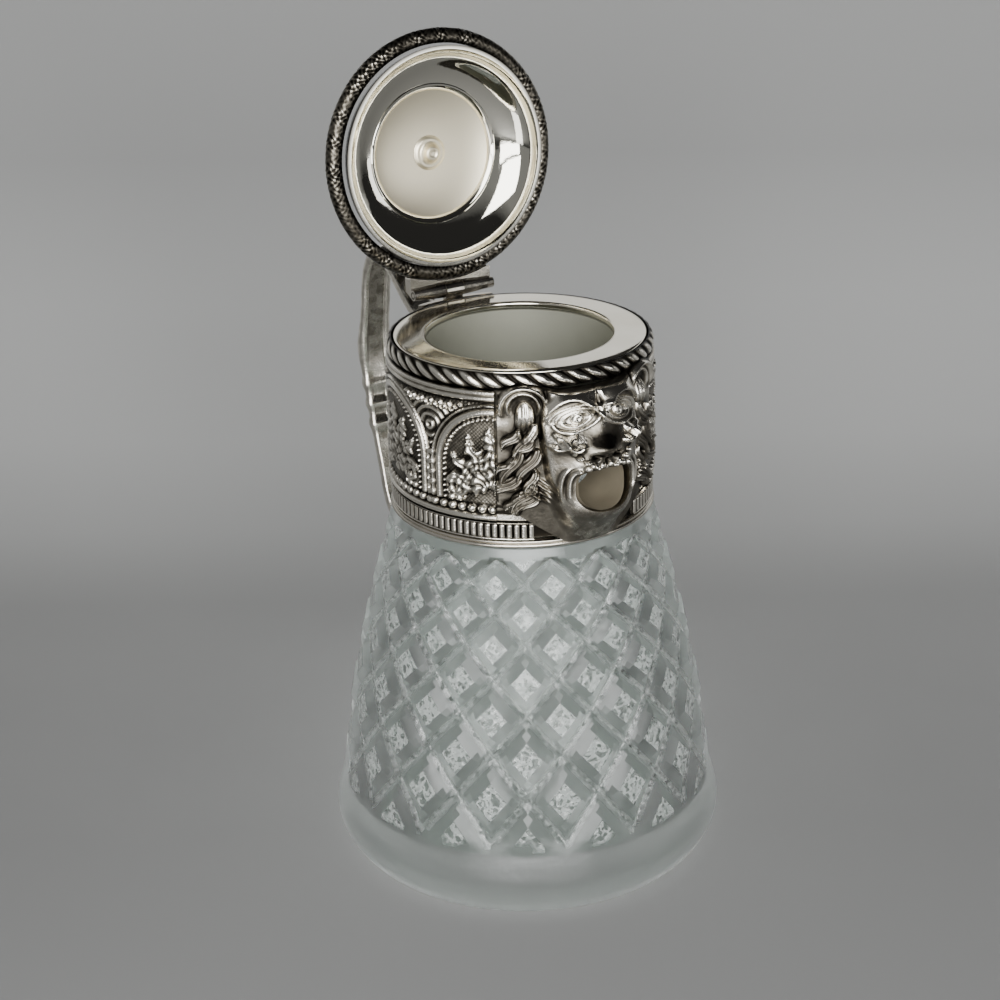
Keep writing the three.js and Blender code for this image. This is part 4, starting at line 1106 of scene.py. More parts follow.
    def foot_ring(self) -> Thing:
        """Builds the double roll at the foot: two half rounds, the lower one larger."""
        outer, bottom, top = self.foot
        z = np.linspace(bottom, top, 28)
        split = bottom + 0.62 * (top - bottom)
        low = (split - bottom) / 2
        high = (top - split) / 2
        roll = np.maximum(low * bead(z - bottom - low, low), high * bead(z - split - high, high))
        face = np.stack([outer - low + roll, z], -1)
        profile = np.concatenate([face, [[self.sleeve_bore, top], [self.sleeve_bore, bottom]]])
        return self.maker.piece("foot_rolls", lathed(profile, 256), AGED, ["foot_bead"])

    def flat_rim(self) -> Thing:
        """Builds the flat ring round the mouth, with softened edges and a slight dish."""
        outer, bottom, top = self.rim
        profile = softened([(self.mouth_radius, bottom), (outer, bottom), (outer, top - 0.15),
                            (outer - 1.2, top), (self.mouth_radius + 0.8, top - 0.12),
                            (self.mouth_radius, top - 0.3)], 0.55)
        return self.maker.piece("mouth_ring", lathed(profile, 256), POLISHED, ["collar_rim"], sharp=60.0)

    def build(self, mask: "LionMask") -> None:
        """Builds the collar's pieces and dresses the plaster that beds them.

        Args:
            mask: the mask that the collar carries.
        """
        self.frieze()
        self.gadroon_ring(mask)
        self.reed_ring()
        self.foot_ring()
        self.flat_rim()
        dress_node("neck_cement", BEDDING)


# Lion mask spout.


@dataclass(frozen=True)
class Mound:
    """A bell-shaped rise, or a dip: its place, its half width and half height, and how far it rises."""

    across: float
    up: float
    width: float
    height: float
    rise: float

    def at(self, side: Array, z: Array) -> Array:
        """The mound's height at a place: its rise times the bell curve of both distances."""
        return self.rise * bump(side - self.across, z - self.up, self.width, self.height)


@dataclass
class LionMask:
    """The lion's face on the front of the collar, with the pouring hole in its mouth.

    Places are distances from the middle of the face, along the collar, and heights. Painted shade and
    highlights are mounds of colour: painted shade on nose and below the mouth, painted highlights on the
    eyes and cheeks. Lock columns are the root and lean of each first lock.
    """

    half_width: float = 21.0
    top: float = 119.0
    bottom: float = 84.3
    corner_z: float = 94.6
    chin_half: float = 6.0
    mouth_z: float = 97.6
    mouth_half: float = 5.75
    mouth_up: float = 4.75
    ear: tuple[float, float] = (14.9, 115.3)
    ear_radius: float = 4.4
    ear_rise: float = 1.8
    eye: tuple[float, float] = (4.8, 113.2)
    eye_size: tuple[float, float] = (5.7, 3.1)
    eye_hollow: tuple[float, float] = (4.8, 2.6)
    upper_lids: Sequence[float] = (0.44, 0.68, 0.93)
    face_halves: Knots = (
        (84, 5.0), (88, 6.6), (93, 8.8), (98, 9.8), (104, 10.8), (111, 11.4), (117, 10.6), (122, 8.6),
    )
    face_heights: Knots = (
        (84, 0.8), (88, 3.6), (92.6, 7.0), (96, 7.0), (102.5, 6.2), (107, 5.8), (110, 4.6), (113.5, 3.6),
        (117, 3.6), (119, 2.6), (122, 1.2),
    )
    muzzle_mounds: Sequence[Mound] = (
        Mound(0.0, 106.5, 3.3, 1.5, 1.0),
        Mound(2.1, 105.2, 0.8, 0.5, -1.0),
        Mound(3.6, 103.7, 2.6, 1.8, 1.1),
    )
    cheek: Mound = Mound(7.0, 108.4, 3.4, 2.0, 0.8)
    cheek_curls: Sequence[tuple[float, float, float]] = ((8.6, 108.6, 0.4), (5.6, 108.3, 2.6))
    # Painted shade on the nose and bridge and below the mouth; the negative rises are painted highlights on
    # the eyes and cheeks.
    painted_shade_and_highlights: Sequence[Mound] = (
        Mound(0.0, 107.6, 3.2, 2.8, 0.42),
        Mound(0.0, 91.0, 7.0, 3.0, 0.08),
        Mound(5.2, 113.6, 4.6, 2.5, -0.3),
        Mound(7.2, 108.4, 3.4, 1.7, -0.4),
    )
    tuft: tuple[float, float] = (10.9, 96.8)
    hair_share: float = 0.29
    band_share: float = 0.47
    lock_columns: Sequence[tuple[float, float, float]] = ((12.4, 112.4, 33.0), (15.9, 110.6, 41.0))
    lock_rows: int = 6
    lock_drop: float = 3.3
    lock_length: float = 7.4
    lock_half: float = 1.45
    throat_wall: float = 0.9
    throat_out: float = 31.0
    bore: float = 20.7
    back: float = 28.9
    seat: float = 29.3
    columns: int = 840
    rows: int = 112
    maker: Maker = Maker(Body.JUG)

    def mouth_reach(self, turn: Array, allowance: float = 0.0) -> Array:
        """Distance from the mouth's middle to its edge: flat on top, round below, by powers of the axes."""
        across = np.abs(np.cos(turn))
        up = np.abs(np.sin(turn))
        power = np.where(np.sin(turn) > 0, 3.6, 2.2)
        half = self.mouth_half + allowance
        high = self.mouth_up + allowance
        return ((across / half) ** power + (up / high) ** power) ** (-1 / power)

    def crest(self, side: Array) -> Array:
        """Height of the mask's upper edge: level, with a bell curve for each ear."""
        return self.top + self.ear_rise * ridge(side - self.ear[0], self.ear_radius)

    def outline_reach(self, turn: Array) -> Array:
        """Distance from the mouth's middle to the mask's edge.

        It is the nearest of the straight sides and, above, of the crest, which a few rounds of putting
        the reach back into the crest's height settle.

        Args:
            turn: direction from the mouth's middle.

        Returns:
            The distance in each direction.
        """
        slant = np.array([self.corner_z - self.bottom, self.chin_half - self.half_width])
        slant /= np.linalg.norm(slant)
        to_corner = slant @ np.array([self.half_width, self.corner_z - self.mouth_z])
        side, up = np.abs(np.cos(turn)), np.sin(turn)
        toward_corner = slant[0] * side + slant[1] * up
        limits = [(side, self.half_width), (-up, self.mouth_z - self.bottom), (toward_corner, to_corner)]
        straight = np.minimum.reduce([limit / np.maximum(toward, 1e-6) for toward, limit in limits])
        reach = straight
        for _ in range(12):
            above = (self.crest(reach * side) - self.mouth_z) / np.maximum(up, 1e-6)
            reach = np.minimum(straight, above)
        return reach

    def face_half(self, z: Array) -> Array:
        """Half width of the face, without the mane, at a height."""
        return through(z, self.face_halves)

    def brows(self, side: Array, z: Array) -> Array:
        """Relief of the brow: a fold whose lower edge is a parabola over the eye, with a frown beside it."""
        over = z - (117.2 - 0.14 * (side - 5.6) ** 2)
        fold = smooth(over, -0.25, 0.4) * np.exp(-((np.clip(over - 0.4, 0, None) / 1.5) ** 2))
        frown = -0.6 * ridge(side - 0.16 * (119 - z), 0.35) * smooth(z, 112.5, 114.5)
        return 1.25 * fold * smooth(11.6 - side, 0.0, 1.6) + frown

    def eyes(self, side: Array, z: Array) -> Array:
        """Relief of an eye: a hollow, a ball, and lids, each an arc of one almond measure."""
        across = side - self.eye[0]
        up = z - self.eye[1] + 0.16 * across
        almond = np.hypot(across / self.eye_size[0], up / self.eye_size[1])
        ball = bead(np.hypot(across + 0.2, 1.15 * up), 1.3) - 0.3 * bump(across + 0.3, up, 0.4, 0.4)
        upper = sum(ridge(almond - place, 0.085) for place in self.upper_lids)
        lower = ridge(almond - 0.5, 0.09) + 0.8 * ridge(almond - 0.8, 0.08)
        lids = 0.62 * upper * smooth(up, -0.5, 0.6) + 0.5 * lower * smooth(-up, -0.3, 0.6)
        return ball + lids - 0.6 * bump(across, up, *self.eye_hollow)

    def muzzle(self, side: Array, z: Array) -> Array:
        """Relief of the muzzle: a bridge that widens downwards, mounds for nose and pads, and a parting."""
        width = 1.2 + 0.17 * np.clip(115.0 - z, 0, None)
        bridge = 0.8 * ridge(side, width) * smooth(z, 105.0, 107.0) * smooth(116.5 - z, 0.0, 3.0)
        parting = -0.6 * ridge(side, 0.35) * smooth(105.0 - z, 0.0, 0.6) * smooth(z, 102.6, 103.4)
        return bridge + sum(mound.at(side, z) for mound in self.muzzle_mounds) + parting

    def studs(self, side: Array, z: Array) -> Array:
        """Relief of the whisker studs: half balls in two slanting rows, and a row along the upper lip."""
        step = np.arange(4)
        rows = [
            np.stack([5.2 - 1.2 * step + shift, 105.2 - 0.85 * step + 1.3 * shift], -1)
            for shift in (0.0, 0.75)
        ]
        lip = np.stack([0.75 + 1.4 * step, 103.15 - 0.11 * step**2], -1)
        size = np.repeat([0.5, 0.5, 0.64], 4)
        places = np.concatenate([*rows, lip])
        return sum(
            0.55 * bead(np.hypot(side - across, z - up), radius) for (across, up), radius in zip(places, size)
        )

    def cheeks(self, side: Array, z: Array) -> Array:
        """Relief of the cheek: a low mound with two curls on it, each most of a ring."""
        relief = self.cheek.at(side, z)
        for across, up, gap in self.cheek_curls:
            reach = np.hypot(side - across, z - up)
            turn = np.arctan2(z - up, side - across)
            relief = relief + 1.3 * ridge(reach - 1.25, 0.62) * smooth(1.0 - np.cos(turn - gap), 0.1, 0.5)
        return relief

    def jaw(self, x: Array, z: Array) -> Array:
        """Relief round the mouth: strokes beside it at even distances from its edge, and a soft lower lip."""
        up = z - self.mouth_z
        away = np.hypot(x, up) - self.mouth_reach(np.arctan2(up, x))
        strokes = sum(ridge(away - place, 0.4) for place in (1.1, 2.5))
        beside = smooth(z, 94.6, 96.8) * smooth(103.6 - z, 0.0, 1.6) * smooth(np.abs(x), 4.2, 5.4)
        lip = ridge(away - 0.8, 1.1) * smooth(-up, 0.0, 3.0)
        return 0.85 * strokes * beside + 0.2 * lip

    def ears(self, side: Array, z: Array) -> Array:
        """Relief of an ear: an arched rim, a finer one inside it, and a drop-shaped lock that hangs in it."""
        across = side - self.ear[0]
        up = z - self.ear[1]
        reach = np.hypot(across, up)
        above = smooth(up, -2.2, 0.6)
        rims = 1.4 * ridge(reach - 4.75, 0.62) + 0.75 * ridge(reach - 3.35, 0.34)
        taper = 0.75 + 0.25 * np.clip((z - 108.4) / 8.0, 0, 1)
        lock = np.hypot((across + 0.3) / (2.4 * taper), (z - 112.4) / 4.5)
        hair = 0.16 * wave(across, 0.95) * smooth(1.0 - lock, 0.0, 0.3)
        return rims * above + 1.5 * bead(lock, 1.0) + hair - 0.5 * bump(across, up - 1.0, 3.2, 2.6)

    def locks(self) -> Array:
        """Roots, leans, lengths and half widths of the locks, in two staggered columns that fall outwards."""
        row = np.arange(self.lock_rows)
        made = [
            np.stack([
                x + 0.6 * np.sin(2.3 * row + x),
                z - self.lock_drop * row + 0.7 * np.sin(4.1 * row + 2 * x),
                np.radians(lean + 15.0 * np.sin(1.7 * row + x)),
                self.lock_length * (1.0 + 0.22 * np.cos(2.9 * row + x)),
                self.lock_half * (1.0 + 0.25 * np.sin(3.7 * row + x)),
            ], -1)
            for x, z, lean in self.lock_columns
        ]
        return np.concatenate(made)

    def mane(self, side: Array, z: Array) -> Array:
        """Relief of the mane.

        Each lock is a drop: along its own line its half width is a sine of a power of the length, across
        it the section is a half round, and a sine of the length bends it to an S. A cosine across the lock
        draws single hairs. A tuft of strokes lies beside the chin, and the ears lie over the upper locks.

        Args:
            side: distance from the middle of the face.
            z: height.

        Returns:
            Height of the hair above the mask's seat.
        """
        hair = np.zeros_like(side)
        for root_x, root_z, lean, length, half in self.locks():
            out, down = side - root_x, root_z - z
            along = (out * np.sin(lean) + down * np.cos(lean)) / length
            share = np.clip(along, 0, 1)
            bend = 0.55 * np.sin(2 * np.pi * along)
            across = out * np.cos(lean) - down * np.sin(lean) + bend
            width = half * np.sin(np.pi * share**0.75) ** 0.7 + 1e-3
            drop = bead(across, width) * (0.75 + 0.25 * share)
            hair = np.maximum(hair, drop * (1.0 + 0.13 * wave(across, 0.75)))
        along = (side - self.tuft[0]) * 0.8 + (z - self.tuft[1]) * 0.6
        over = (z - self.tuft[1]) * 0.8 - (side - self.tuft[0]) * 0.6
        strokes = sum(ridge(over - place, 0.34) for place in (-1.65, -0.55, 0.55, 1.65))
        tuft = 0.95 * strokes * ridge(along, 2.0)
        low = smooth(self.ear[1] - 2.0 - z, -1.0, 2.5)
        return 0.4 + 1.7 * hair * low + tuft + self.ears(side, z) * (1 - 0.6 * low)

    def relief(self, x: Array, z: Array) -> Array:
        """Height of the mask above its seat.

        The face is a mound: its middle line times a flattened power of the distance from it. Eyes, brow,
        muzzle and lips are added to the mound, and outside the face the mane takes over.

        Args:
            x: distance across the face, along the collar.
            z: height.

        Returns:
            Height of the relief in millimetres.
        """
        side = np.abs(x)
        half = self.face_half(z)
        mound = np.clip(1 - (side / (half * 1.12)) ** 2, 0, 1) ** 0.8
        features = [part(side, z) for part in (self.brows, self.eyes, self.muzzle, self.studs, self.cheeks)]
        line = through(z, self.face_heights)
        face = 0.7 + (line - 0.7) * mound + sum(features) + self.jaw(x, z)
        soft = 1.0 + 2.0 * smooth(101.0 - z, 0.0, 7.0)
        outside = smooth((side - half) / soft, -0.8, 0.6)
        edge = smooth(self.half_width - side, 0.0, 0.7) * smooth(self.crest(side) - z, 0.0, 0.6)
        return (face * (1 - outside) + self.mane(side, z) * outside) * (0.2 + 0.8 * edge)

    def openness(self, height: Array, side: Array, z: Array) -> Array:
        """How open the mask's surface lies, which the finish turns into tarnish or polish.

        The relief gives it, less the painted shade on nose and below the mouth and plus the painted
        highlights on the eyes and cheeks. The mane is drawn towards the share of dull hair, and a plain band
        beside the face towards its own share.

        Args:
            height: the relief, whose first axis runs round the mouth.
            side: distance from the middle of the face.
            z: height of each point.

        Returns:
            The openness from 0 to 1.
        """
        lap = 24
        wrapped = np.pad(height, ((lap, lap), (0, 0)), mode="wrap")
        # Painted shade and highlights: the mounds darken nose and lower lip and brighten eyes and cheeks.
        share = hollows(wrapped, 5, 0.75)[lap:-lap] - sum(painted_mark.at(side, z) for painted_mark in self.painted_shade_and_highlights)
        beside = side - self.face_half(z)
        hair = smooth(beside, -0.3, 0.8) * smooth(112.5 - z, 0.0, 3.0)
        share = share + 0.6 * hair * (self.hair_share - share)
        band = ridge(beside - 0.4, 1.3) * smooth(110.0 - z, 0.0, 4.0)
        return np.clip(share + 0.75 * band * (self.band_share - share), 0, 1)

    def face_piece(self) -> Thing:
        """Builds the mask: rays run from the mouth's edge to the outline over the relief, then behind it."""
        turn = np.arange(self.columns) * 2 * np.pi / self.columns
        start = self.mouth_reach(turn)[:, None]
        end = self.outline_reach(turn)[:, None]
        reach = start + (end - start) * np.linspace(0, 1, self.rows)
        x = reach * np.cos(turn)[:, None]
        z = self.mouth_z + reach * np.sin(turn)[:, None]
        height = self.relief(x, z)
        front = around(self.seat + height, x / self.seat, z)
        # Behind the mask the mouth's edge lies a little wider, clear of the throat.
        back = around(np.array(self.back), x[:, [-1, 0]] * [1.0, 1.05] / self.seat, z[:, [-1, 0]])
        share = np.concatenate([self.openness(height, np.abs(x), z), np.zeros((self.columns, 2))], 1)
        shape = swept(np.concatenate([front, back], 1), True)
        return self.maker.piece("lion_face", shape, CHASED, ["lion_spout"], share, sharp=85.0)

    def throat(self) -> Thing:
        """Builds the passage behind the mouth: the mouth's outline as a tube back to the liner's bore.

        Its inner edge runs forward to just behind the lips, and its outer wall ends inside the mask.

        Returns:
            The passage's piece.
        """
        turn = np.arange(144) * 2 * np.pi / 144
        outlines = []
        for allowance, reaches_out in ((-0.05, True), (-0.05, False), (self.throat_wall, False),
                                       (self.throat_wall, True)):
            reach = self.mouth_reach(turn, allowance)
            x = reach * np.cos(turn)
            z = self.mouth_z + reach * np.sin(turn)
            lips = np.sqrt(np.clip((self.seat + self.relief(x, z) - 0.9) ** 2 - x**2, 0, None))
            front = lips if allowance < 0 else np.full(x.shape, self.throat_out)
            y = -front if reaches_out else -np.sqrt(self.bore**2 - x**2)
            outlines.append(np.stack([x, y, z], -1))
        shape = swept(np.stack(outlines, 1), True)
        return self.maker.piece("throat_tube", shape, THROAT, ["spout_throat"])

    def build(self) -> None:
        """Builds the face and the passage behind it."""
        self.face_piece()
        self.throat()


# Liner.


@dataclass
class Liner:
    """The smooth tube inside the collar, pierced for the throat."""

    radius: float = 20.7
    wall: float = 1.0
    maker: Maker = Maker(Body.JUG, sharp=50.0)

    def build(self, mask: LionMask) -> Thing:
        """Builds the tube and cuts the throat's outline out of its front.

        Args:
            mask: the mask whose throat goes through the liner.

        Returns:
            The liner's piece.
        """
        low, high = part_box("pouring_liner")
        bottom, top = low.z / MM, high.z / MM
        z = np.linspace(bottom, top, 9)
        inner = np.stack([np.full(z.shape, self.radius), z], -1)
        outer = np.stack([np.full(2, self.radius + self.wall), [top, bottom]], -1)
        tube = lathed(np.concatenate([inner, outer]), 192)
        piece = self.maker.piece("liner_tube", tube, LINER, ["pouring_liner"])
        turn = np.arange(96) * 2 * np.pi / 96
        reach = mask.mouth_reach(turn, mask.throat_wall + 0.1)
        outline = np.stack([reach * np.cos(turn), np.zeros(96), mask.mouth_z + reach * np.sin(turn)], -1)
        ends = np.array([[0, -self.radius / 2, 0], [0, -self.radius * 1.5, 0]])
        cutter_mesh = bpy.data.meshes.new("throat_cutter")
        fill_mesh(cutter_mesh, *swept(outline[None] + ends[:, None], False))
        self.maker.close(cutter_mesh)
        cutter = put("throat_cutter", cutter_mesh)
        cut = piece.modifiers.new("throat", "BOOLEAN")
        cut.object = cutter
        cut.operation = "DIFFERENCE"
        cut.solver = "EXACT"
        done = bpy.data.meshes.new_from_object(piece.evaluated_get(bpy.context.evaluated_depsgraph_get()))
        piece.modifiers.clear()
        uncut, piece.data = piece.data, done
        bpy.data.objects.remove(cutter)
        for mesh in (uncut, cutter_mesh):
            bpy.data.meshes.remove(mesh)
        done.name = "liner_tube"
        return piece


# Handle.


@dataclass
class Handle:
    """The cast strap handle, with raised borders, a channel, a leaf and a knot of rings."""

    width: float = 7.8
    foot_width: float = 4.4
    thickness: float = 3.0
    channel: float = 0.9
    root_radius: float = 29.0
    root_level: float = 123.0
    rings: Sequence[float] = (0.455, 0.485, 0.515)
    leaf: float = 0.4
    chevrons: int = 26
    chase: float = 0.16
    steps: int = 420
    line: Knots = (
        (-1.5, -10.2), (9, -9.6), (18, -6.5), (28, 0.2), (35.5, 3), (40.8, -2.5), (43.4, -14), (45.4, -26),
        (44, -38), (41, -53), (36.5, -65.5), (27.5, -69), (18.5, -62), (10.2, -48.5), (6.6, -37),
        (3.4, -29.8), (-1.5, -26.8),
    )
    maker: Maker = Maker(Body.JUG)

    def route(self) -> Array:
        """The middle line, evenly spaced: a spline whose knots lie the roots of the chords apart.

        Returns:
            Points out and up, shape (steps, 2).
        """
        points = np.array(self.line, float)
        ends = np.concatenate([[2 * points[0] - points[1]], points, [2 * points[-1] - points[-2]]])
        knot = np.concatenate([[0], np.cumsum(np.linalg.norm(np.diff(ends, axis=0), axis=1) ** 0.5)])
        t = np.linspace(knot[1], knot[-2], 4000)
        k = np.clip(np.searchsorted(knot, t, side="right") - 1, 1, len(ends) - 3)

        def blend(low: Array, high: Array, i: int, j: int) -> Array:
            """Mixes two points by where t lies between two knots."""
            start, end = knot[k + i], knot[k + j]
            return ((end - t)[:, None] * low + (t - start)[:, None] * high) / (end - start)[:, None]

        first = [blend(ends[k + i], ends[k + i + 1], i, i + 1) for i in (-1, 0, 1)]
        second = [blend(first[i], first[i + 1], i - 1, i + 1) for i in (0, 1)]
        curve = blend(*second, 0, 1)
        length = np.concatenate([[0], np.cumsum(np.linalg.norm(np.diff(curve, axis=0), axis=1))])
        even = np.linspace(0, length[-1], self.steps)
        return np.stack([np.interp(even, length, curve[:, axis]) for axis in (0, 1)], -1)

    def build(self) -> Thing:
        """Builds the strap: a flat section with soft edges that follows the middle line.

        The section's outer side is crowned and chased with chevrons, by a cosine; the inner side has a
        channel between two raised borders. Leaf, rings and roots swell it by bell curves of the length.

        Returns:
            The handle's piece.
        """
        path = self.route()
        t = np.linspace(0, 1, self.steps)
        forward = np.gradient(path, axis=0)
        forward /= np.linalg.norm(forward, axis=1, keepdims=True)
        roots = ridge(t, 0.05) + 0.6 * ridge(t - 1, 0.05)
        rings = sum(ridge(t - place, 0.008) for place in self.rings)
        leaf = ridge(t - self.leaf, 0.03)
        taper = smooth(t, 0.36, 0.62)
        half = (self.width + (self.foot_width - self.width) * taper) / 2 + roots + 0.5 * rings + 0.5 * leaf
        deep = self.thickness / 2 + 0.5 * roots + 0.4 * rings + 0.6 * leaf
        hollow = self.channel * np.clip((1 - rings) * (1 - ridge(t - 0.44, 0.03)) * (1 - roots), 0, 1)
        turn = np.linspace(0, 2 * np.pi, 72, endpoint=False)
        across = np.sign(np.cos(turn)) * np.abs(np.cos(turn)) ** 0.55
        out = np.sign(np.sin(turn)) * np.abs(np.sin(turn)) ** 0.75
        inner = np.clip(-out, 0, 1)
        channel = smooth(0.66 - np.abs(across), 0.0, 0.16) * inner
        chevron = wave(t[:, None] * self.chevrons + 0.6 * np.abs(across), 1.0)
        chase = self.chase * chevron * (np.abs(across) < 0.8) * np.clip(out, 0, 1) * (1 - taper)[:, None]
        x = half[:, None] * across
        depth = (deep[:, None] - self.chase) * out + hollow[:, None] * channel + chase
        y = self.root_radius + path[:, :1] - forward[:, 1:] * depth
        z = self.root_level + path[:, 1:] + forward[:, :1] * depth
        share = 0.62 - 0.12 * channel * (hollow / self.channel)[:, None] + 1.6 * chase
        shape = swept(np.stack([x, y, z], -1), False)
        return self.maker.piece("strap_handle", shape, CHASED, ["handle"], np.clip(share, 0, 1), sharp=60.0)


# Lid and hinge.


@dataclass
class Lid:
    """The domed lid with its chased bead, cup, rivet and finial, made closed and then swung open.

    Knob knots are heights on the finial and shares of its radius. Rivet knots are radii and heights of the
    boss inside the cup.
    """

    seat_gap: float = 0.3
    open_turn: float = 94.0
    radius: float = 28.6
    lip_radius: float = 24.9
    sheet: float = 0.9
    bead_radius: float = 1.95
    bead_lift: float = 1.4
    lobes: int = 112
    bowl_depth: float = 6.4
    cup_radius: float = 15.0
    cup_depth: float = 2.4
    cup_roll: float = 0.45
    finial_height: float = 12.5
    finial_radius: float = 5.0
    knob_knots: Knots = (
        (0, 0.95), (0.9, 0.9), (2.6, 0.42), (3.6, 0.4), (6.6, 1.0), (9.6, 0.75), (11.4, 0.28), (12.5, 0.0),
    )
    flute_start: float = 3.4
    flute_depth: float = 0.09
    stud_radius: float = 1.2
    stud_length: float = 3.2
    rivet_radius: float = 3.2
    rivet_knots: Knots = (
        (0.0, 2.0), (0.6, 2.03), (1.15, 2.2), (1.65, 1.95), (2.0, 1.2), (2.4, 0.75), (3.4, 0.55), (4.0, 0.1),
    )
    maker: Maker = Maker(Body.LID)

    def __post_init__(self) -> None:
        """Reads the hinge's axis from the record and the collar's top from the frame."""
        _, self.axis_y, self.axis_z = (part / MM for part in frame["joints"][0]["pos_m"])
        self.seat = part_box("collar_rim")[1].z / MM + self.seat_gap

    def swung(self, points: Array) -> Array:
        """Takes points of the closed lid, counted from its seat, to where the open lid stands."""
        turn = -np.radians(self.open_turn)
        y = points[..., 1] - self.axis_y
        z = points[..., 2] + self.seat - self.axis_z
        return np.stack([
            points[..., 0],
            self.axis_y + y * np.cos(turn) - z * np.sin(turn),
            self.axis_z + y * np.sin(turn) + z * np.cos(turn),
        ], -1)

    def face(self, lip: float, lift: float, steps: int) -> Array:
        """One face of the dome, from its lip inwards: a cubic curve, a rolled step, and the cup's own curve.

        Args:
            lip: radius of the lip.
            lift: how far the face lies above the inner one.
            steps: points of each curve.

        Returns:
            Radius and height of each point.
        """
        depth = lift + self.bowl_depth
        bowl = bezier([(lip, 0.0), (lip - 0.4, lift + self.bowl_depth * 0.55),
                       (lip * 0.85, lift + self.bowl_depth * 0.9), (self.cup_radius + 1.0, depth)], steps)
        cup = bezier([(self.cup_radius - 0.6, depth + 0.9), (self.cup_radius * 0.6, depth + self.cup_depth),
                      (self.stud_radius + 0.3, depth + self.cup_depth)], steps)
        turn = np.linspace(0, np.pi, 9)[:, None]
        middle, half = (bowl[-1] + cup[0]) / 2, (bowl[-1] - cup[0]) / 2
        roll = middle + half * np.cos(turn) - np.array([0.0, self.cup_roll]) * np.sin(turn)
        return np.concatenate([bowl[:-1], roll, cup[1:]])

    def dome(self) -> Thing:
        """Builds the polished dome, a thin shell between two faces, with a satin cup inside and a painted
        shadow on the outer face by the lip.
        """
        sides = 256
        outer = self.face(self.lip_radius, self.sheet, 28)
        inner = self.face(self.lip_radius - self.sheet, 0.0, 28)
        profile = np.concatenate([outer, inner[::-1]])
        points, faces = lathed(profile, sides)
        inside = np.arange(len(profile)) >= len(outer)
        satin = smooth(self.cup_radius - profile[:, 0], 0.0, 0.3) * inside
        # Painted shadow on the outer face below the bead's top, a dark line between the lip and the bead.
        unshadowed = np.maximum(smooth(profile[:, 1], 2.4, 3.2), inside)
        share = np.tile(MIRROR_SHARE * unshadowed + (1 - MIRROR_SHARE) * satin, sides)
        shape = (self.swung(points), faces)
        return self.maker.piece("polished_dome", shape, LID_PLATE, ["lid_dome"], share, sharp=24.0)

    def border(self) -> Thing:
        """Builds the bead round the edge, chased with small uneven leaves: a product of bent cosines."""
        count, size = 1584, 40
        turn = np.arange(count)[:, None] * 2 * np.pi / count
        middle = self.bead_lift + self.bead_radius
        centre = self.radius - self.bead_radius
        bore = self.lip_radius + 0.3
        end = np.pi - np.arccos((centre - bore) / self.bead_radius)
        round_turn = np.linspace(-end, end, size)[None]
        bend = 1.1 * np.sin(4.0 * round_turn) + 0.7 * np.sin(23 * turn)
        sway = 1.2 * np.sin(0.5 * self.lobes * turn)
        leaf = np.cos(self.lobes * turn + bend) * np.cos(6.5 * round_turn + sway)
        leaf = leaf * (0.62 + 0.38 * np.sin(17 * turn + 3.0 * np.sin(5 * turn)))
        reach = self.bead_radius + 0.11 * (leaf - 1.0) * smooth(end - np.abs(round_turn), 0.0, 0.5)
        outer = around(centre + reach * np.cos(round_turn), turn, middle + reach * np.sin(round_turn))
        points, faces = swept(outer, True)
        shape = (self.swung(points), faces)
        return self.maker.piece(
            "chased_bead", shape, CHASED, ["lid_border"], 0.33 + 0.24 * leaf, sharp=70.0
        )

    def knob(self) -> Thing:
        """Builds the finial: a turned knob, fluted by a cosine of the turn, with its stud."""
        seat = self.bowl_depth + self.cup_depth + self.sheet + self.seat_gap
        z = np.linspace(0.0, self.finial_height, 60)
        radius = self.finial_radius * np.clip(through(z, self.knob_knots), 0, None)
        foot = seat - self.stud_length
        stud = [(0, foot), (self.stud_radius, foot), (self.stud_radius, seat)]
        radius, z = np.concatenate([stud, np.stack([radius, seat + z], -1)]).T
        turn = np.arange(128)[:, None] * 2 * np.pi / 128
        fluted = z > seat + self.flute_start
        flute = np.abs(np.cos(4 * turn)) ** 0.6 * fluted
        sections = around(radius * (1.0 - self.flute_depth * (fluted - flute)), turn, z)
        points, faces = swept(sections, True)
        share = np.clip(0.75 - 0.5 * fluted * (1 - flute) - 0.3 * ridge(z - seat - 3.1, 1.0), 0, 1)
        shape = (self.swung(points), faces)
        return self.maker.piece("finial_knob", shape, CHASED, ["finial"], share, sharp=60.0)

    def rivet(self) -> Thing:
        """Builds the boss inside the cup, a turned smooth curve: a low disc and the stud's dimpled end."""
        top = self.bowl_depth + self.cup_depth - 0.05
        radius = np.linspace(0.0, self.rivet_knots[-1][0], 48)
        disc = np.stack([radius, top - through(radius, self.rivet_knots)], -1)
        profile = np.concatenate([disc, [[self.rivet_radius, top], [0.0, top]]])
        points, faces = lathed(profile, 96)
        shape = (self.swung(points), faces)
        satin = np.ones(len(points))
        return self.maker.piece("finial_ring", shape, LID_PLATE, ["finial_rivet"], satin, sharp=50.0)

    def build(self) -> None:
        """Builds the lid's pieces and dresses the hinge."""
        self.dome()
        self.border()
        self.knob()
        self.rivet()
        for node in ("lid_hinge", "hinge_seat", "hinge_pin"):
            dress_node(node, AGED)


# Studio.


@dataclass(frozen=True)
class Lamp:
    """A soft rectangular light: where it stands and looks in the photograph's axes, its size and radiance."""

    name: str
    place: Sequence[float]
    size: tuple[float, float]
    glow: float
    target: Sequence[float] = (0.0, 0.0, 80.0)


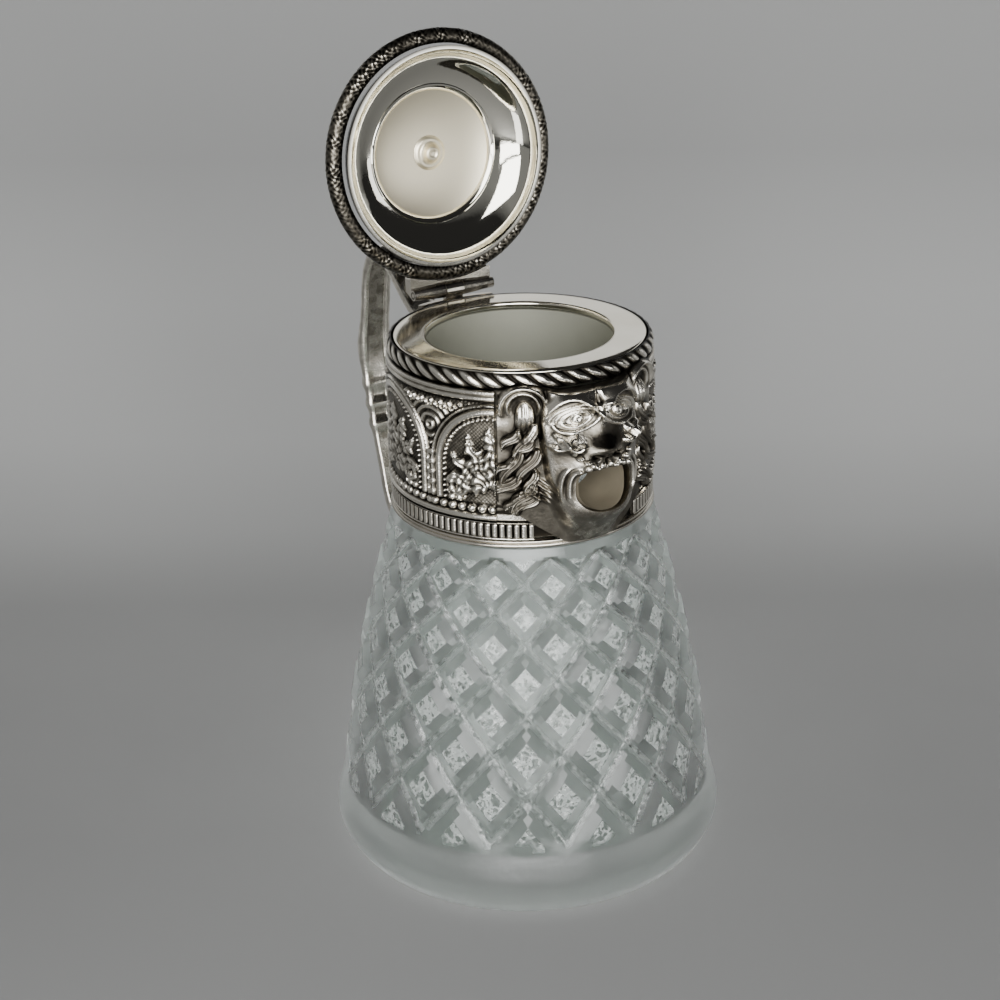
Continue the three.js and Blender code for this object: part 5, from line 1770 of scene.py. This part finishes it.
@dataclass
class Studio:
    """Floor and backdrop in one sweep, soft lights, and the camera at the photograph's place.

    Cloth painted shading is greys by the height over the sweep's radius, with a little of the depth: painted
    light, lighter round the bend and towards the back of the floor, where less lamp light falls, darker up
    the backdrop, which faces the lamps, and pale at its top. Room stops are where the pale walls end and the
    dark begins, by how far a direction points to the dark side.
    """

    focal_px: float = 2000.0
    image_px: float = 1000.0
    sensor: float = 36.0
    distance: float = 441.1
    elevation: float = 17.98
    roll: float = -1.0
    aim_x: float = 519.6
    aim_y: float = 329.5
    turn: float = -30.0
    sweep_start: float = 120.0
    sweep_radius: float = 220.0
    sweep_rise: float = 120.0
    sweep_bend: float = 80.0
    floor_start: float = -1600.0
    half_width: float = 1800.0
    cloth_painted_shading: Knots = (
        (0.0, 0.27), (0.01, 0.335), (0.035, 0.38), (0.1, 0.415), (0.25, 0.39), (0.45, 0.305), (0.75, 0.31),
        (0.95, 0.75),
    )
    cloth_tint: Colour = (1.0, 1.006, 0.995)
    room_colour: Colour = (0.28, 0.282, 0.28)
    ceiling_colour: Colour = (0.028, 0.028, 0.028)
    dark_side: Colour = (0.55, 0.25, 0.8)
    room_stops: tuple[float, float] = (0.22, 0.45)
    lamps: Sequence[Lamp] = (
        Lamp("window", (60, -1000, 500), (960, 620), 9.0),
        Lamp("sill", (160, -1000, 110), (900, 130), 9.0),
        Lamp("front_strip", (-80, -235, 60), (105, 130), 3.2, (0, 0, 60)),
        Lamp("right_window", (900, -420, 100), (520, 190), 3.0),
    )

    def turned(self, points: Array) -> Array:
        """Takes points from the photograph's axes (right, away, up) to the part's by a turn about Z."""
        angle = np.radians(self.turn)
        matrix = np.array([[np.cos(angle), -np.sin(angle), 0], [np.sin(angle), np.cos(angle), 0], [0, 0, 1]])
        return points @ matrix.T

    def sweep(self) -> None:
        """Builds the cloth: a floor that bends up into a backdrop, drawn along a straight line."""
        bend = np.linspace(0, np.radians(self.sweep_bend), 24)
        bent = np.stack([self.sweep_start + self.sweep_radius * np.sin(bend),
                         self.sweep_radius * (1 - np.cos(bend))], -1)
        rise = bent[-1] + np.array([np.cos(bend[-1]), np.sin(bend[-1])]) * self.sweep_rise
        profile = np.concatenate([[[self.floor_start, 0]], bent, [rise]])
        width = np.linspace(-self.half_width, self.half_width, 9)
        points = np.stack(np.broadcast_arrays(width, profile[:, :1], profile[:, 1:]), -1).reshape(-1, 3)
        mesh = bpy.data.meshes.new("cloth_sweep")
        fill_mesh(mesh, self.turned(points), [sheet_faces(len(profile), len(width))])
        mesh.polygons.foreach_set("use_smooth", np.ones(len(mesh.polygons), bool))
        graph = Graph("pale_cloth")
        graph.set(Roughness=0.95)
        # Painted light: the grey is read from the height with a little of the depth, brighter towards the
        # back and round the bend, where less lamp light falls.
        up = self.turned(np.array([0.0, 0.02, 1.0])) / self.sweep_radius / MM
        height = graph.add("ShaderNodeVectorMath", {1: up}, operation="DOT_PRODUCT")
        graph.join(graph.place(), height.inputs[0])
        cloud = graph.spread(graph.noise(9.0), -0.004, 0.004)
        tone = graph.combine("ADD", height.outputs["Value"], cloud)
        stops = [(stop, tuple(grey * share for share in self.cloth_tint)) for stop, grey in self.cloth_painted_shading]
        graph.feed("Base Color", graph.ramp(tone, stops))
        mesh.materials.append(graph.material)
        put("cloth_sweep", mesh)

    def camera(self) -> None:
        """Places the camera.

        It stands at a distance and elevation from the middle of the collar's top, which shows at the aim
        point of the image. The look is level first, then rolled, then turned so that the ray through the
        aim point meets that middle.
        """
        e = np.radians(self.elevation)
        target = np.array([0, 0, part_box("collar_rim")[1].z / MM])
        away = np.array([0, -np.cos(e), np.sin(e)])
        forward = -away
        right = np.array([1.0, 0, 0])
        level = np.stack([right, np.cross(forward, right), forward])
        half = self.image_px / 2
        ray = np.array([(self.aim_x - half) / self.focal_px, (self.aim_y - half) / self.focal_px, 1.0])
        ray /= np.linalg.norm(ray)
        swing = np.array(Vector((0, 0, 1)).rotation_difference(Vector(ray)).to_matrix())
        rolled = np.array(Matrix.Rotation(np.radians(self.roll), 3, "Z"))
        look = swing @ rolled @ level
        data = bpy.data.cameras.new("camera")
        data.sensor_fit = "HORIZONTAL"
        data.sensor_width = self.sensor
        data.lens = self.focal_px / self.image_px * self.sensor
        data.clip_start = 0.01
        data.clip_end = 20.0
        camera = put("camera", data)
        place = self.turned(target + away * self.distance) * MM
        axes = self.turned(np.stack([look[0], -look[1], -look[2]])).T
        camera.matrix_world = Matrix.Translation(Vector(place)) @ Matrix(axes.tolist()).to_4x4()
        bpy.context.scene.camera = camera

    def light(self, lamp: Lamp) -> None:
        """Hangs a lamp, hidden from the camera: its power is its radiance times its area times pi."""
        data = bpy.data.lights.new(lamp.name, "AREA")
        data.shape = "RECTANGLE"
        data.size, data.size_y = (length * MM for length in lamp.size)
        data.energy = lamp.glow * np.pi * data.size * data.size_y
        hung = put(lamp.name, data)
        hung.visible_camera = False
        start, end = (Vector(self.turned(np.array(place, float)) * MM) for place in (lamp.place, lamp.target))
        facing = (end - start).to_track_quat("-Z", "Y").to_matrix().to_4x4()
        hung.matrix_world = Matrix.Translation(start) @ facing

    def room(self) -> None:
        """Sets the room's own glow: pale on the left and dark overhead and to the right, by the direction."""
        world = bpy.data.worlds.new("room")
        world.use_nodes = True
        tree = world.node_tree
        direction = tree.nodes.new("ShaderNodeTexCoord")
        toward = tree.nodes.new("ShaderNodeVectorMath")
        toward.operation = "DOT_PRODUCT"
        toward.inputs[1].default_value = self.turned(np.array(self.dark_side))
        ramp = tree.nodes.new("ShaderNodeValToRGB")
        colours = (self.room_colour, self.ceiling_colour)
        for element, stop, colour in zip(ramp.color_ramp.elements, self.room_stops, colours):
            element.position = stop
            element.color = (*colour, 1.0)
        tree.links.new(direction.outputs["Object"], toward.inputs[0])
        tree.links.new(toward.outputs["Value"], ramp.inputs["Fac"])
        tree.links.new(ramp.outputs["Color"], tree.nodes["Background"].inputs["Color"])
        bpy.context.scene.world = world

    def build(self) -> None:
        """Builds the sweep, the lights, the room and the camera."""
        self.sweep()
        for lamp in self.lamps:
            self.light(lamp)
        self.room()
        self.camera()


def main() -> None:
    """Builds the creamer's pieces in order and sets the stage."""
    logging.basicConfig(level=logging.INFO, format="%(message)s")
    Studio().build()
    GlassBody().build()
    mask = LionMask()
    Collar().build(mask)
    mask.build()
    Liner().build(mask)
    Handle().build()
    Lid().build()


if __name__ == "__main__":
    main()
